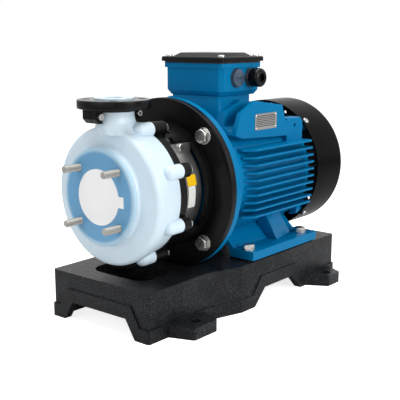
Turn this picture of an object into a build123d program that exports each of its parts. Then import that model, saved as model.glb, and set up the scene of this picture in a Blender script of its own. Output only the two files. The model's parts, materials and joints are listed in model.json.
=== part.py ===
from build123d import *
import math
import os

# Close-coupled plastic chemical pump on a cast baseplate. All sizes are in millimetres.
# X runs along the shaft from the suction port to the fan, Z is up.
# The origin lies on the floor, midway between the two front anchor holes.

# Clearances
SEAT_GAP = 0.05
RUN_GAP = 0.3
HOLE_GAP = 0.5

# Axial stations
FLANGE_X = 62.0
LANTERN_FLANGE_T = 10.0
MOTOR_FACE_X = FLANGE_X + LANTERN_FLANGE_T

# Motor standard sizes
SHAFT_HEIGHT = 112.0
FOOT_SPAN_Y = 190.0
FOOT_SPAN_X = 140.0
FOOT_FIRST_X = 70.0
FLANGE_R = 125.0
FLANGE_PCD = 215.0
SPIGOT_R = 90.0
SPIGOT_T = 3.5
SHAFT_D = 28.0
SHAFT_L = 60.0

# Baseplate
BASE_H = 69.0
BASE_PAD_H = 3.0
BASE_FRONT_X = -73.0
BASE_BEND_1_X = 48.0
BASE_BEND_2_X = 106.0
BASE_OVERHANG = 64.0
BASE_FRONT_W = 92.7
BASE_REAR_W = 110.0
BASE_WALL = 10.0
BASE_TOP_T = 12.0
BASE_RIB_T = 8.0
BASE_RIB_DEPTH = 14.0
BASE_RIB_COUNT = 3
RIM_PROUD = 2.0
RIM_H = 19.0
EDGE_R = 4.0
FRONT_ARCH_W = 69.0
FRONT_ARCH_TOP_W = 52.0
FRONT_ARCH_H = 27.0
SIDE_ARCH_X = 200.0
SIDE_ARCH_W = 63.0
SIDE_ARCH_TOP_W = 37.0
SIDE_ARCH_H = 25.0
PUMP_SLOT_X0 = -42.0
PUMP_SLOT_X1 = 30.0
PUMP_SLOT_W = 53.0
PUMP_SLOT_R = 24.0
FLANGE_SLOT_MARGIN = 6.0

# Anchor lugs
LUG_H = 17.0
LUG_HOLE_D = 14.0
FRONT_LUG_X = 0.0
FRONT_LUG_HOLE_Y = 112.0
FRONT_LUG_REACH = 130.0
FRONT_LUG_TIP_W = 24.0
FRONT_LUG_ROOT_W = 37.0
REAR_LUG_OFFSET = 12.0
REAR_LUG_HOLE_Y = 129.0
REAR_LUG_REACH = 144.0
REAR_LUG_TIP_W = 17.0
REAR_LUG_ROOT_W = 35.0

SHAFT_Z = BASE_H + BASE_PAD_H + SHAFT_HEIGHT

# Pump casing
CASE_REAR_X = -6.0
CASE_FRONT_X = -64.7
BOSS_R = 67.5
BOSS_DEPTH = 7.7
BOSS_BLEND = 1.5
SHOULDER_RAKE = 3.6
SHOULDER_ROUND = 7.0
CASE_R = 95.6
CASE_REAR_R = 91.2
CASE_TAPER_L = 32.0
VOLUTE_DROP = 2.0
CHAMBER_R = 78.0
CHAMBER_OFFSET = 4.0
CHAMBER_FRONT_X = -46.0
REGISTER_R = 86.0
COVER_T = 8.0
SUCTION_BORE_R = 25.0
CASE_LUG_COUNT = 8
CASE_LUG_PITCH_R = 95.5
CASE_LUG_R = 10.0
CASE_LUG_LENGTH = 18.0
CASE_BOLT_D = 8.0
CASE_BOLT_BITE = 16.0
CASE_BOLT_AF = 13.0
CASE_BOLT_HEAD = 5.5

# Suction studs and cover
STUD_PCD = 105.0
STUD_D = 10.0
STUD_OUT = 30.7
STUD_BITE = 14.0
STUD_SHANK_D = 9.4
COVER_DISC_R = 67.2
COVER_DISC_T = 3.7
COVER_RIM_ROUND = 3.0
LABEL_R = 38.2
LABEL_T = 0.6
LABEL_TAB_W = 15.0
LABEL_TAB_REACH = 47.0
LABEL_TAB_DROP = 2.0

# Discharge
DISCHARGE_X = -36.3
DISCHARGE_TOP = 129.0
DISCHARGE_BORE_R = 12.5
NECK_R = 27.0
NECK_LEDGE_T = 2.0
NECK_WAIST_Z = 100.0
NECK_WAIST_SHIFT = 3.0
NECK_WAIST_RX = 28.5
NECK_WAIST_RY = 24.5
NECK_ROOT_Z = 84.0
NECK_ROOT_SHIFT = 12.0
NECK_ROOT_RX = 29.5
NECK_ROOT_RY = 28.0
NECK_GROOVE_R = 24.5
NECK_FACE_PROUD = 2.0
DISCHARGE_FLANGE_R = 49.5
DISCHARGE_FLANGE_T = 12.0
DISCHARGE_PCD = 75.0
DISCHARGE_HOLE_D = 12.0
COLLAR_T = 3.6
COLLAR_R = 31.0
COLLAR_SPLIT = 1.0
COLLAR_EAR_H = 18.0
COLLAR_EAR_IN = 28.5
COLLAR_EAR_OUT = 44.0
COLLAR_EAR_FRONT_T = 10.0
COLLAR_EAR_REAR_T = 14.0
COLLAR_EAR_CHAMFER = 6.0
COLLAR_SCREW_D = 5.0
NECK_RIB_T = 6.0

# Clamp ring and rear cover
RING_T = 15.0
RING_R = 90.0
RING_LUG_R = 10.0
RING_BORE_R = 70.0
COVER_HUB_R = 36.0
COVER_HUB_T = 9.0
O_RING_R = 1.8

# Lantern bracket
LANTERN_RING_T = 10.0
LANTERN_FRONT_R = 87.0
LANTERN_REAR_R = 92.0
LANTERN_WALL = 7.0
LANTERN_BORE_R = 62.0
WINDOW_REAR_X = 52.0
WINDOW_UP_DEG = 50.0
WINDOW_DOWN_DEG = -34.0
DRAIN_FRONT_X = 24.0
DRAIN_WINDOW_W = 60.0
GUARD_R = 79.5
GUARD_T = 1.5
GUARD_UP_DEG = 44.0
GUARD_DOWN_DEG = -33.0
GUARD_TAB_H = 12.0
GUARD_SCREW_D = 5.0
GUARD_SCREW_L = 12.0
M12_D = 12.0
M12_AF = 18.0
M12_HEAD = 7.5
M12_NUT = 10.0
M12_WASHER_R = 12.0
M12_WASHER_T = 2.5

# Shaft line
STUB_SLEEVE_R = 20.0
STUB_NOSE_R = 12.0
STUB_SLEEVE_START = 5.0
STUB_REAR_GAP = 6.0
STUB_BORE_GAP = 2.0
SLINGER_R = 27.0
SLINGER_T = 4.0
IMPELLER_R = 68.0
IMPELLER_EYE_R = 24.0
IMPELLER_HUB_R = 19.0
IMPELLER_SHROUD_T = 4.0
IMPELLER_VANE_H = 14.0
IMPELLER_VANE_T = 3.5
IMPELLER_VANES = 6
IMPELLER_REAR_X = -22.0
IMPELLER_HUB_L = 12.0
NUT_END_WALL = 4.0
IMPELLER_NUT_R = 16.0
IMPELLER_NUT_L = 14.0
SEAT_RING_T = 9.0
SEAT_RING_R = 28.0
SEAL_FACE_T = 6.0
SEAL_FACE_R = 27.0
BELLOWS_L = 15.0
BELLOWS_FOLDS = 4
BELLOWS_R = 26.0
SEAL_COLLAR_T = 9.0
SEAL_COLLAR_R = 28.0

# Motor
BEARING_BORE_R = 15.0
BEARING_R = 31.0
BEARING_T = 16.0
BEARING_RING_T = 4.0
BALL_R = 3.7
BALL_COUNT = 7
FRONT_BEARING_X = 91.0
REAR_BEARING_OFFSET = 3.0
MOTOR_FLANGE_T = 11.0
FRAME_FRONT_X = 112.0
FRAME_REAR_OVERHANG = 18.0
FRAME_R = 93.0
STATOR_R = 87.0
STATOR_BORE_R = 56.0
STATOR_FRONT_X = 145.0
STATOR_L = 130.0
WINDING_REACH = 22.0
ROTOR_R = 55.5
ROTOR_RING_T = 8.0
CORE_SHAFT_R = 18.0
FIN_T = 3.0
FIN_PITCH = 11.0
FIN_COUNT = 10
FIN_TOP_Z = 48.5
FIN_TIP = 108.0
FIN_TIP_FALL = 0.0022
FIN_START_X = 133.0
FIN_TAPER_X = 147.5
FIN_TAPER = 13.7
TOP_FIN_COUNT = 5
TOP_FIN_PITCH = 12.0
PLATE_PAD_Y = 85.0
PLATE_PAD_WALL = 6.0
PLATE_PAD_LOW = 54.0
PLATE_PAD_TOP = 120.0
SIDE_EAR_L = 44.0
SIDE_EAR_LOW = 46.0
SIDE_EAR_TOP = 86.0
SIDE_EAR_HOLE_R = 3.0
SIDE_EAR_SLOPE = 7.0
FOOT_T = 13.0
FOOT_OUTER = 17.0
FOOT_INNER = 25.5
FOOT_WEB_INSET = 18.5
FOOT_WEB_T = 10.0
FOOT_WEB_RISE = 30.0
FOOT_FRONT = 11.0
FOOT_REAR = 22.5
LEG_START = 5.0
LEG_TOP_L = 34.0
LEG_TOP_Y = 65.5
LEG_TOP_DEPTH = 16.0
FOOT_BOLT_D = 10.0
FOOT_BOLT_AF = 16.0
FOOT_BOLT_HEAD = 6.4
FOOT_WASHER_R = 10.0
FOOT_WASHER_T = 2.0
EAR_R = 11.0
EAR_PITCH_R = 93.0
SHIELD_T = 12.0
SHIELD_BOLT_D = 6.0
SHIELD_SEAT_WALL = 8.0
SHIELD_HUB_WALL = 14.0
SHIELD_RIM = 6.0
COWL_BOSS_R = 7.0
PLATE_L = 56.0
PLATE_H = 24.0
PLATE_T = 0.8
PLATE_X = 196.0
PLATE_Z = 86.5

# Fan and cowl
COWL_OFFSET = 14.0
COWL_L = 86.0
COWL_R = 106.7
COWL_WALL = 2.2
COWL_ROUND = 16.0
COWL_SCREW_INSET = 8.0
COWL_SCREW_D = 5.0
COWL_SCREW_L = 12.0
GRILLE_SLOTS = 18
GRILLE_IN_R = 26.0
GRILLE_OUT_R = 84.0
GRILLE_SLOT_W = 5.0
FAN_R = 88.0
FAN_BLADES = 8
FAN_BLADE_T = 2.5
FAN_HUB_R = 17.0
FAN_OFFSET = 28.0
FAN_L = 32.0
FAN_SEAT_R = 12.0

# Terminal box
BOX_X0 = 127.0
BOX_X1 = 222.0
BOX_W = 55.0
BOX_LOW = 124.5
BOX_TOP = 172.0
BOX_WALL = 4.0
BOX_CHAMFER = 6.0
BOX_LOW_CHAMFER = 7.0
BOX_NECK_X0 = 131.0
BOX_NECK_X1 = 211.0
BOX_NECK_W = 46.0
GASKET_T = 2.3
LID_OVERHANG = 5.0
LID_PLATE_T = 7.0
LID_RISE = 5.5
LID_INSET = 14.0
LID_SCREW_D = 5.0
ENTRY_Z = 150.5
PLUG_X = 162.0
PLUG_R = 12.9
PLUG_T = 5.0
GLAND_X = 196.0
GLAND_AF = 26.0
GLAND_HEX_T = 6.0
GLAND_CAP_R = 14.0
GLAND_CAP_L = 17.0
GLAND_BORE_R = 6.0
CABLE_R = 5.0
ENTRY_THREAD_R = 9.5

SHAFT_AXIS = Axis((0, 0, SHAFT_Z), (1, 0, 0))
SECTION = Plane(origin=(0, 0, SHAFT_Z), x_dir=(1, 0, 0), z_dir=(0, -1, 0))
LOW = (Align.CENTER, Align.CENTER, Align.MIN)
QUARTERS = (45, 135, 225, 315)

PAD_TOP = BASE_H + BASE_PAD_H
CASE_BOLT_ANGLES = [360 / CASE_LUG_COUNT * (i + 0.5) for i in range(CASE_LUG_COUNT)]
RING_REAR_X = CASE_REAR_X + RING_T
LANTERN_RING_X = RING_REAR_X + LANTERN_RING_T
WINDOW_FRONT_X = RING_REAR_X
GUARD_SCREW_X = (WINDOW_FRONT_X + WINDOW_REAR_X) / 2
STUB_SLEEVE_X = CASE_REAR_X + STUB_SLEEVE_START
STUB_NOSE_X = IMPELLER_REAR_X - IMPELLER_HUB_L - IMPELLER_NUT_L + NUT_END_WALL
STUB_REAR_X = MOTOR_FACE_X - STUB_REAR_GAP
SHAFT_TIP_X = MOTOR_FACE_X - SHAFT_L
FOOT_XS = (MOTOR_FACE_X + FOOT_FIRST_X, MOTOR_FACE_X + FOOT_FIRST_X + FOOT_SPAN_X)
FOOT_IN = FOOT_SPAN_Y / 2 - FOOT_INNER
FOOT_OUT = FOOT_SPAN_Y / 2 + FOOT_OUTER
FRAME_REAR_X = FOOT_XS[1] + FRAME_REAR_OVERHANG
REAR_BEARING_X = FRAME_REAR_X + REAR_BEARING_OFFSET
COWL_FRONT_X = FRAME_REAR_X + COWL_OFFSET
COWL_REAR_X = COWL_FRONT_X + COWL_L
COWL_SCREW_X = COWL_FRONT_X + COWL_SCREW_INSET
FAN_FRONT_X = FRAME_REAR_X + FAN_OFFSET
BASE_REAR_X = FRAME_REAR_X + BASE_OVERHANG
REAR_LUG_X = FRAME_REAR_X + REAR_LUG_OFFSET
BOX_MID_X = (BOX_X0 + BOX_X1) / 2
LID_Z = SHAFT_Z + BOX_TOP + GASKET_T


def rod_x(x0, x1, r, bore=0.0):
    """Round bar or tube on the shaft axis from x0 to x1."""
    solid = Cylinder(r, x1 - x0, align=LOW)
    if bore > 0:
        solid -= Cylinder(bore, x1 - x0, align=LOW)
    return Pos(x0, 0, SHAFT_Z) * Rot(0, 90, 0) * solid


def turned(points, rounds=0.0):
    """Solid of revolution about the shaft axis from (x, radius) corners with rounded corners."""
    outline = FilletPolyline(*points, radius=rounds, close=True)
    return revolve(SECTION * make_face(outline), SHAFT_AXIS)


def upright(x, points, rounds=0.0):
    """Solid of revolution about a vertical axis at x from (radius, z) corners."""
    plane = Plane(origin=(x, 0, 0), x_dir=(1, 0, 0), z_dir=(0, -1, 0))
    outline = FilletPolyline(*points, radius=rounds, close=True)
    return revolve(plane * make_face(outline), Axis((x, 0, 0), (0, 0, 1)))


def around(radius, angle):
    """Y and Z of a point at a radius and an angle from +Y about the shaft axis."""
    turn = math.radians(angle)
    return radius * math.cos(turn), SHAFT_Z + radius * math.sin(turn)


def pin_x(x0, x1, r, radius, angle):
    """Round bar parallel to the shaft at a radius and angle from it."""
    y, z = around(radius, angle)
    return Pos(x0, y, z) * Rot(0, 90, 0) * Cylinder(r, x1 - x0, align=LOW)


def slab(x0, x1, y0, y1, z0, z1):
    """Rectangular block between two corners."""
    size = Box(x1 - x0, y1 - y0, z1 - z0, align=(Align.MIN, Align.MIN, Align.MIN))
    return Pos(x0, y0, z0) * size


def prism_z(points, z0, z1, rounds=0.0):
    """Upright prism from plan corners."""
    outline = FilletPolyline(*points, radius=rounds, close=True)
    return Pos(0, 0, z0) * extrude(make_face(outline), z1 - z0)


def prism_x(points, x0, x1, rounds=0.0):
    """Prism along X from (y, z) corners."""
    outline = FilletPolyline(*points, radius=rounds, close=True)
    plane = Plane(origin=(x0, 0, 0), x_dir=(0, 1, 0), z_dir=(1, 0, 0))
    return extrude(plane * make_face(outline), x1 - x0)


def prism_y(points, y0, y1, rounds=0.0):
    """Prism along Y from (x, z) corners."""
    outline = FilletPolyline(*points, radius=rounds, close=True)
    plane = Plane(origin=(0, y1, 0), x_dir=(1, 0, 0), z_dir=(0, -1, 0))
    return extrude(plane * make_face(outline), y1 - y0)


def mirrored(points):
    """Corners on the +Y side followed by their mirror images on the -Y side."""
    return points + [(x, -y) for x, y in reversed(points)]


def hex_prism(across_flats, height):
    """Hexagonal bar standing on the XY plane."""
    return extrude(RegularPolygon(across_flats / 2, 6, major_radius=False), height)


def hex_bolt(d, length, across_flats, head):
    """Hex bolt with its head seat at z = 0 and its shank pointing down."""
    cone = Cone(across_flats / 2 + head, across_flats / 2 - 0.3, head, align=LOW)
    crown = hex_prism(across_flats, head) & cone
    return crown + Pos(0, 0, -length) * Cylinder(d / 2, length, align=LOW)


def cap_screw(d, length):
    """Socket screw with its head seat at z = 0, shank pointing down."""
    head = Cylinder(d * 0.85, d * 0.8, align=LOW) - Pos(0, 0, d * 0.4) * hex_prism(d * 0.8, d)
    return head + Pos(0, 0, -length) * Cylinder(d / 2, length, align=LOW)


def pan_screw(d, length):
    """Pan head screw with its head seat at z = 0, shank pointing down."""
    head = fillet(Cylinder(d, d * 0.6, align=LOW).edges().sort_by(Axis.Z)[-1], d * 0.25)
    return head + Pos(0, 0, -length) * Cylinder(d / 2, length, align=LOW)


def group(pieces):
    """Separate solids kept side by side in one node."""
    return Compound([solid for piece in pieces for solid in piece.solids()])


def base_outline(extra=0.0):
    """Plan corners of the baseplate, widened by extra all round."""
    return mirrored([
        (BASE_FRONT_X - extra, BASE_FRONT_W + extra),
        (BASE_BEND_1_X - extra / 2, BASE_FRONT_W + extra),
        (BASE_BEND_2_X - extra / 2, BASE_REAR_W + extra),
        (BASE_REAR_X + extra, BASE_REAR_W + extra),
    ])


def trapezoid(mid, half_low, half_top, height, extra=0.0):
    """Corners of an arch opening, or of the raised rim that follows it."""
    return [
        (mid - half_low - extra, 0),
        (mid - half_top - extra / 2, height + extra),
        (mid + half_top + extra / 2, height + extra),
        (mid + half_low + extra, 0),
    ]


def anchor_lug(x, hole_y, reach, tip_w, root_w, wall_y, side):
    """One anchor lug with its hole, on the side of the base given by side."""
    corners = [
        (x - root_w, side * (wall_y - BASE_WALL / 2)),
        (x - root_w, side * wall_y),
        (x - tip_w, side * reach),
        (x + tip_w, side * reach),
        (x + root_w, side * wall_y),
        (x + root_w, side * (wall_y - BASE_WALL / 2)),
    ]
    lug = prism_z(corners, 0, LUG_H, [0, 0, EDGE_R, EDGE_R, 0, 0])
    return lug - Pos(x, side * hole_y, 0) * Cylinder(LUG_HOLE_D / 2, LUG_H, align=LOW)


def baseplate():
    """Cast base: hollow box with arches, raised rim, lugs, motor pads and slots."""
    rounds = [EDGE_R, 0, 0, EDGE_R, EDGE_R, 0, 0, EDGE_R]
    body = prism_z(base_outline(), 0, BASE_H, rounds)
    rim_limit = prism_z(base_outline(RIM_PROUD), 0, BASE_H, rounds)
    wide = BASE_REAR_W + RIM_PROUD
    front_x = BASE_FRONT_X - RIM_PROUD
    rear_x = BASE_REAR_X + RIM_PROUD
    low_band = slab(front_x, rear_x, -wide, wide, 0, RIM_H)
    front_band = prism_x(trapezoid(0, FRONT_ARCH_W, FRONT_ARCH_TOP_W, FRONT_ARCH_H, RIM_H), front_x, rear_x)
    side_rim = trapezoid(SIDE_ARCH_X, SIDE_ARCH_W, SIDE_ARCH_TOP_W, SIDE_ARCH_H, RIM_H)
    side_band = prism_y(side_rim, -wide, wide)
    front_band &= prism_x([(-wide, 0), (-wide, BASE_H), (wide, BASE_H), (wide, 0)], front_x, rear_x)
    body += rim_limit & (low_band + front_band + side_band)
    hollow = prism_z(base_outline(-BASE_WALL), 0, BASE_H - BASE_TOP_T, EDGE_R)
    for i in range(BASE_RIB_COUNT):
        x = BASE_FRONT_X + (BASE_REAR_X - BASE_FRONT_X) * (i + 1) / (BASE_RIB_COUNT + 1)
        under = BASE_H - BASE_TOP_T
        hollow -= slab(x, x + BASE_RIB_T, -wide, wide, under - BASE_RIB_DEPTH, under)
    body -= hollow
    body -= prism_x(trapezoid(0, FRONT_ARCH_W, FRONT_ARCH_TOP_W, FRONT_ARCH_H), front_x, rear_x)
    body -= prism_y(trapezoid(SIDE_ARCH_X, SIDE_ARCH_W, SIDE_ARCH_TOP_W, SIDE_ARCH_H), -wide, wide)
    for side in (1, -1):
        body += anchor_lug(FRONT_LUG_X, FRONT_LUG_HOLE_Y, FRONT_LUG_REACH, FRONT_LUG_TIP_W,
                           FRONT_LUG_ROOT_W, BASE_FRONT_W + RIM_PROUD, side)
        body += anchor_lug(REAR_LUG_X, REAR_LUG_HOLE_Y, REAR_LUG_REACH, REAR_LUG_TIP_W,
                           REAR_LUG_ROOT_W, BASE_REAR_W + RIM_PROUD, side)
        pad_x0 = FOOT_XS[0] - FOOT_FRONT
        pad_x1 = FOOT_XS[1] + FOOT_REAR
        inner, outer = sorted((side * FOOT_IN, side * (BASE_REAR_W - EDGE_R)))
        body += slab(pad_x0, pad_x1, inner, outer, BASE_H, PAD_TOP)
        for x in FOOT_XS:
            boss = Pos(x, side * FOOT_SPAN_Y / 2, BASE_H - BASE_TOP_T - BASE_RIB_DEPTH)
            body += boss * Cylinder(FOOT_BOLT_D, BASE_RIB_DEPTH + BASE_TOP_T, align=LOW)
            hole_z = BASE_H - BASE_TOP_T - BASE_RIB_DEPTH
            hole = Cylinder(FOOT_BOLT_D / 2 + SEAT_GAP, PAD_TOP - hole_z, align=LOW)
            body -= Pos(x, side * FOOT_SPAN_Y / 2, hole_z) * hole
    slot = mirrored([(PUMP_SLOT_X0, PUMP_SLOT_W), (PUMP_SLOT_X1, PUMP_SLOT_W)])
    body -= prism_z(slot, BASE_H - BASE_TOP_T - BASE_RIB_DEPTH, BASE_H, PUMP_SLOT_R)
    half_chord = math.sqrt(FLANGE_R ** 2 - (SHAFT_Z - BASE_H) ** 2) + FLANGE_SLOT_MARGIN
    groove_x0 = FLANGE_X - FLANGE_SLOT_MARGIN
    groove_x1 = MOTOR_FACE_X + MOTOR_FLANGE_T + M12_NUT + FLANGE_SLOT_MARGIN
    body -= slab(groove_x0, groove_x1, -half_chord, half_chord, BASE_H - BASE_TOP_T, BASE_H)
    return body


def casing_lug(angle):
    """Clamping lug on the casing, with a ball nose that runs into the drum."""
    x0 = CASE_REAR_X - CASE_LUG_LENGTH
    y, z = around(CASE_LUG_PITCH_R, angle)
    return pin_x(x0, CASE_REAR_X, CASE_LUG_R, CASE_LUG_PITCH_R, angle) + Pos(x0, y, z) * Sphere(CASE_LUG_R)


def casing_drum():
    """Dropped drum of the casing: round front shoulder, tapering to the clamping face."""
    boss_x = CASE_FRONT_X + BOSS_DEPTH
    drum_x = CASE_REAR_X - CASE_TAPER_L
    corners = [
        (boss_x, 0), (boss_x, BOSS_R + BOSS_BLEND), (boss_x + SHOULDER_RAKE, CASE_R), (drum_x, CASE_R),
        (drum_x, 0),
    ]
    drum = Pos(0, 0, -VOLUTE_DROP) * turned(corners, [0, 0, SHOULDER_ROUND, 0, 0])
    front = Pos(drum_x, 0, SHAFT_Z - VOLUTE_DROP) * Rot(0, 90, 0) * Circle(CASE_R)
    rear = Pos(CASE_REAR_X, 0, SHAFT_Z) * Rot(0, 90, 0) * Circle(CASE_REAR_R)
    return drum + loft([front, rear])


def discharge_neck():
    """Discharge neck with the collar groove, leaning to one side as it enters the casing."""
    top = SHAFT_Z + DISCHARGE_TOP
    under_flange = top - DISCHARGE_FLANGE_T
    groove = under_flange - COLLAR_T - SEAT_GAP
    ledge = groove - NECK_LEDGE_T
    corners = [
        (0, ledge), (NECK_R, ledge), (NECK_R, groove), (NECK_GROOVE_R, groove),
        (NECK_GROOVE_R, under_flange), (NECK_R, under_flange),
        (NECK_R, top + NECK_FACE_PROUD), (0, top + NECK_FACE_PROUD),
    ]
    start = Pos(DISCHARGE_X, 0, ledge) * Circle(NECK_R)
    waist = Ellipse(NECK_WAIST_RX, NECK_WAIST_RY)
    waist = Pos(DISCHARGE_X, -NECK_WAIST_SHIFT, SHAFT_Z + NECK_WAIST_Z) * waist
    root = Ellipse(NECK_ROOT_RX, NECK_ROOT_RY)
    root = Pos(DISCHARGE_X, -NECK_ROOT_SHIFT, SHAFT_Z + NECK_ROOT_Z) * root
    neck = upright(DISCHARGE_X, corners) + loft([root, waist, start])
    web_top = under_flange - COLLAR_EAR_H - RUN_GAP
    web_low = SHAFT_Z + NECK_ROOT_Z
    rib_x = DISCHARGE_X + NECK_R
    neck += slab(DISCHARGE_X, rib_x, -NECK_RIB_T / 2, NECK_RIB_T / 2, web_low, web_top)
    lug_y, lug_z = around(CASE_LUG_PITCH_R, 180 - CASE_BOLT_ANGLES[1])
    web = [(rib_x - NECK_RIB_T, -NECK_RIB_T), (DISCHARGE_X + NECK_RIB_T, -NECK_WAIST_RY),
           (rib_x - NECK_RIB_T, lug_y - NECK_RIB_T), (CASE_REAR_X - 1, lug_y)]
    return neck + prism_z(web, web_low, min(web_top, lug_z + CASE_LUG_R - 1))


def pump_casing():
    """Front casing: suction boss, round shoulders, lugs, discharge neck and pumping chamber."""
    boss_x = CASE_FRONT_X + BOSS_DEPTH
    body = turned([(CASE_FRONT_X, 0), (CASE_FRONT_X, BOSS_R), (boss_x - BOSS_BLEND, BOSS_R),
                   (boss_x + BOSS_BLEND, BOSS_R + 2 * BOSS_BLEND), (boss_x + BOSS_BLEND, 0)],
                  [0, 4.5, BOSS_BLEND, 0, 0])
    body += casing_drum()
    for angle in CASE_BOLT_ANGLES:
        body += casing_lug(angle)
    body += discharge_neck()
    top = SHAFT_Z + DISCHARGE_TOP
    cover_front = CASE_REAR_X - COVER_T
    chamber = rod_x(CHAMBER_FRONT_X, cover_front, CHAMBER_R)
    body -= chamber - rod_x(CHAMBER_FRONT_X, CHAMBER_FRONT_X + 0.1, 1)
    body -= Pos(0, 0, CHAMBER_OFFSET) * rod_x(CHAMBER_FRONT_X + 6, cover_front - 6, CHAMBER_R)
    body -= rod_x(cover_front, CASE_REAR_X, REGISTER_R)
    body -= rod_x(CASE_FRONT_X, CHAMBER_FRONT_X + 1, SUCTION_BORE_R)
    bore_z = SHAFT_Z + CHAMBER_R - 10
    bore = Cylinder(DISCHARGE_BORE_R, top + NECK_FACE_PROUD - bore_z, align=LOW)
    body -= Pos(DISCHARGE_X, 0, bore_z) * bore
    body -= casing_o_ring_groove(cover_front)
    for angle in QUARTERS:
        hole_r = STUD_SHANK_D / 2 + SEAT_GAP
        body -= pin_x(CASE_FRONT_X, CASE_FRONT_X + STUD_BITE, hole_r, STUD_PCD / 2, angle)
    for angle in CASE_BOLT_ANGLES:
        hole_r = CASE_BOLT_D / 2 + SEAT_GAP
        body -= pin_x(CASE_REAR_X - CASE_BOLT_BITE, CASE_REAR_X, hole_r, CASE_LUG_PITCH_R, angle)
    return body


def casing_o_ring_groove(cover_front):
    """Ring-shaped groove in the casing that holds the O-ring."""
    mid = (CHAMBER_R + REGISTER_R) / 2
    depth = 2 * O_RING_R + SEAT_GAP
    half = O_RING_R + SEAT_GAP
    return rod_x(cover_front - depth, cover_front, mid + half, mid - half)


def casing_o_ring():
    """O-ring between the casing and the rear cover."""
    mid = (CHAMBER_R + REGISTER_R) / 2
    x = CASE_REAR_X - COVER_T - O_RING_R
    return Pos(x, 0, SHAFT_Z) * Rot(0, 90, 0) * Torus(mid, O_RING_R)


def suction_studs():
    """Four studs of the suction port: thread in front of the cover, thinner shank behind."""
    shank_x = CASE_FRONT_X - COVER_DISC_T - 2 * RUN_GAP
    studs = []
    for angle in QUARTERS:
        thread = pin_x(CASE_FRONT_X - STUD_OUT, shank_x, STUD_D / 2, STUD_PCD / 2, angle)
        thread = chamfer(thread.edges().sort_by(Axis.X)[0], 1.2)
        shank = pin_x(shank_x, CASE_FRONT_X + STUD_BITE, STUD_SHANK_D / 2, STUD_PCD / 2, angle)
        studs.append(thread + shank)
    return group(studs)


def suction_cover():
    """Transit cover of the suction port with a hole for each stud."""
    x1 = CASE_FRONT_X - RUN_GAP
    disc = rod_x(x1 - COVER_DISC_T, x1, COVER_DISC_R)
    disc = fillet(disc.edges().sort_by(Axis.X)[0], COVER_RIM_ROUND)
    for angle in QUARTERS:
        disc -= pin_x(x1 - COVER_DISC_T, x1, STUD_D / 2 + HOLE_GAP, STUD_PCD / 2, angle)
    return disc


def suction_label():
    """Round label with a pull tab, stuck to the transit cover."""
    x1 = CASE_FRONT_X - RUN_GAP - COVER_DISC_T
    x0 = x1 - LABEL_T
    z = SHAFT_Z - LABEL_TAB_DROP
    tab = slab(x0, x1, -LABEL_TAB_REACH, 0, z - LABEL_TAB_W / 2, z + LABEL_TAB_W / 2)
    label = rod_x(x0, x1, LABEL_R) + tab
    for angle in QUARTERS:
        label -= pin_x(x0, x1, STUD_D / 2 + HOLE_GAP, STUD_PCD / 2, angle)
    return label


def discharge_flange():
    """Loose backing flange round the discharge neck."""
    top = SHAFT_Z + DISCHARGE_TOP
    low = top - DISCHARGE_FLANGE_T
    edge = 1.5
    corners = [(NECK_R + HOLE_GAP, low), (DISCHARGE_FLANGE_R, low), (DISCHARGE_FLANGE_R, top),
               (NECK_R + HOLE_GAP, top)]
    flange = upright(DISCHARGE_X, corners, [0, edge, edge, 0])
    for angle in QUARTERS:
        turn = math.radians(angle)
        x = DISCHARGE_X + DISCHARGE_PCD / 2 * math.cos(turn)
        y = DISCHARGE_PCD / 2 * math.sin(turn)
        flange -= Pos(x, y, low) * Cylinder(DISCHARGE_HOLE_D / 2, DISCHARGE_FLANGE_T, align=LOW)
    return flange


def collar_half(side):
    """Half of the split collar that carries the loose flange; side is -1 at the front."""
    z1 = SHAFT_Z + DISCHARGE_TOP - DISCHARGE_FLANGE_T
    ear_t = COLLAR_EAR_FRONT_T if side < 0 else COLLAR_EAR_REAR_T
    split = COLLAR_SPLIT / 2
    ring_r = NECK_GROOVE_R + SEAT_GAP
    band = Cylinder(COLLAR_R, COLLAR_T, align=LOW) - Cylinder(ring_r, COLLAR_T, align=LOW)
    half = Pos(DISCHARGE_X, 0, z1 - COLLAR_T) * band
    neck_room = Pos(0, 0, -COLLAR_EAR_H) * Cylinder(NECK_ROOT_RX + 3, COLLAR_EAR_H, align=LOW)
    near, far = sorted((side * split, side * 2 * COLLAR_R))
    half &= slab(DISCHARGE_X - 2 * COLLAR_R, DISCHARGE_X + 2 * COLLAR_R, near, far, z1 - COLLAR_T, z1)
    for way in (-1, 1):
        corners = [
            (DISCHARGE_X + way * COLLAR_EAR_IN, z1), (DISCHARGE_X + way * COLLAR_EAR_OUT, z1),
            (DISCHARGE_X + way * COLLAR_EAR_OUT, z1 - COLLAR_EAR_H + COLLAR_EAR_CHAMFER),
            (DISCHARGE_X + way * (COLLAR_EAR_OUT - COLLAR_EAR_CHAMFER), z1 - COLLAR_EAR_H),
            (DISCHARGE_X + way * COLLAR_EAR_IN, z1 - COLLAR_EAR_H),
        ]
        near, far = sorted((side * split, side * ear_t))
        ear = prism_y(corners, near, far)
        hole_z = z1 - COLLAR_EAR_H / 2
        hole_x = DISCHARGE_X + way * (COLLAR_EAR_IN + COLLAR_EAR_OUT) / 2
        hole = Cylinder(COLLAR_SCREW_D / 2 + SEAT_GAP, ear_t + 1)
        ear -= Pos(DISCHARGE_X, 0, z1 - COLLAR_T) * neck_room
        half += ear
        half -= Pos(hole_x, side * (ear_t + 1) / 2, hole_z) * Rot(90, 0, 0) * hole
    return half


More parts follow.
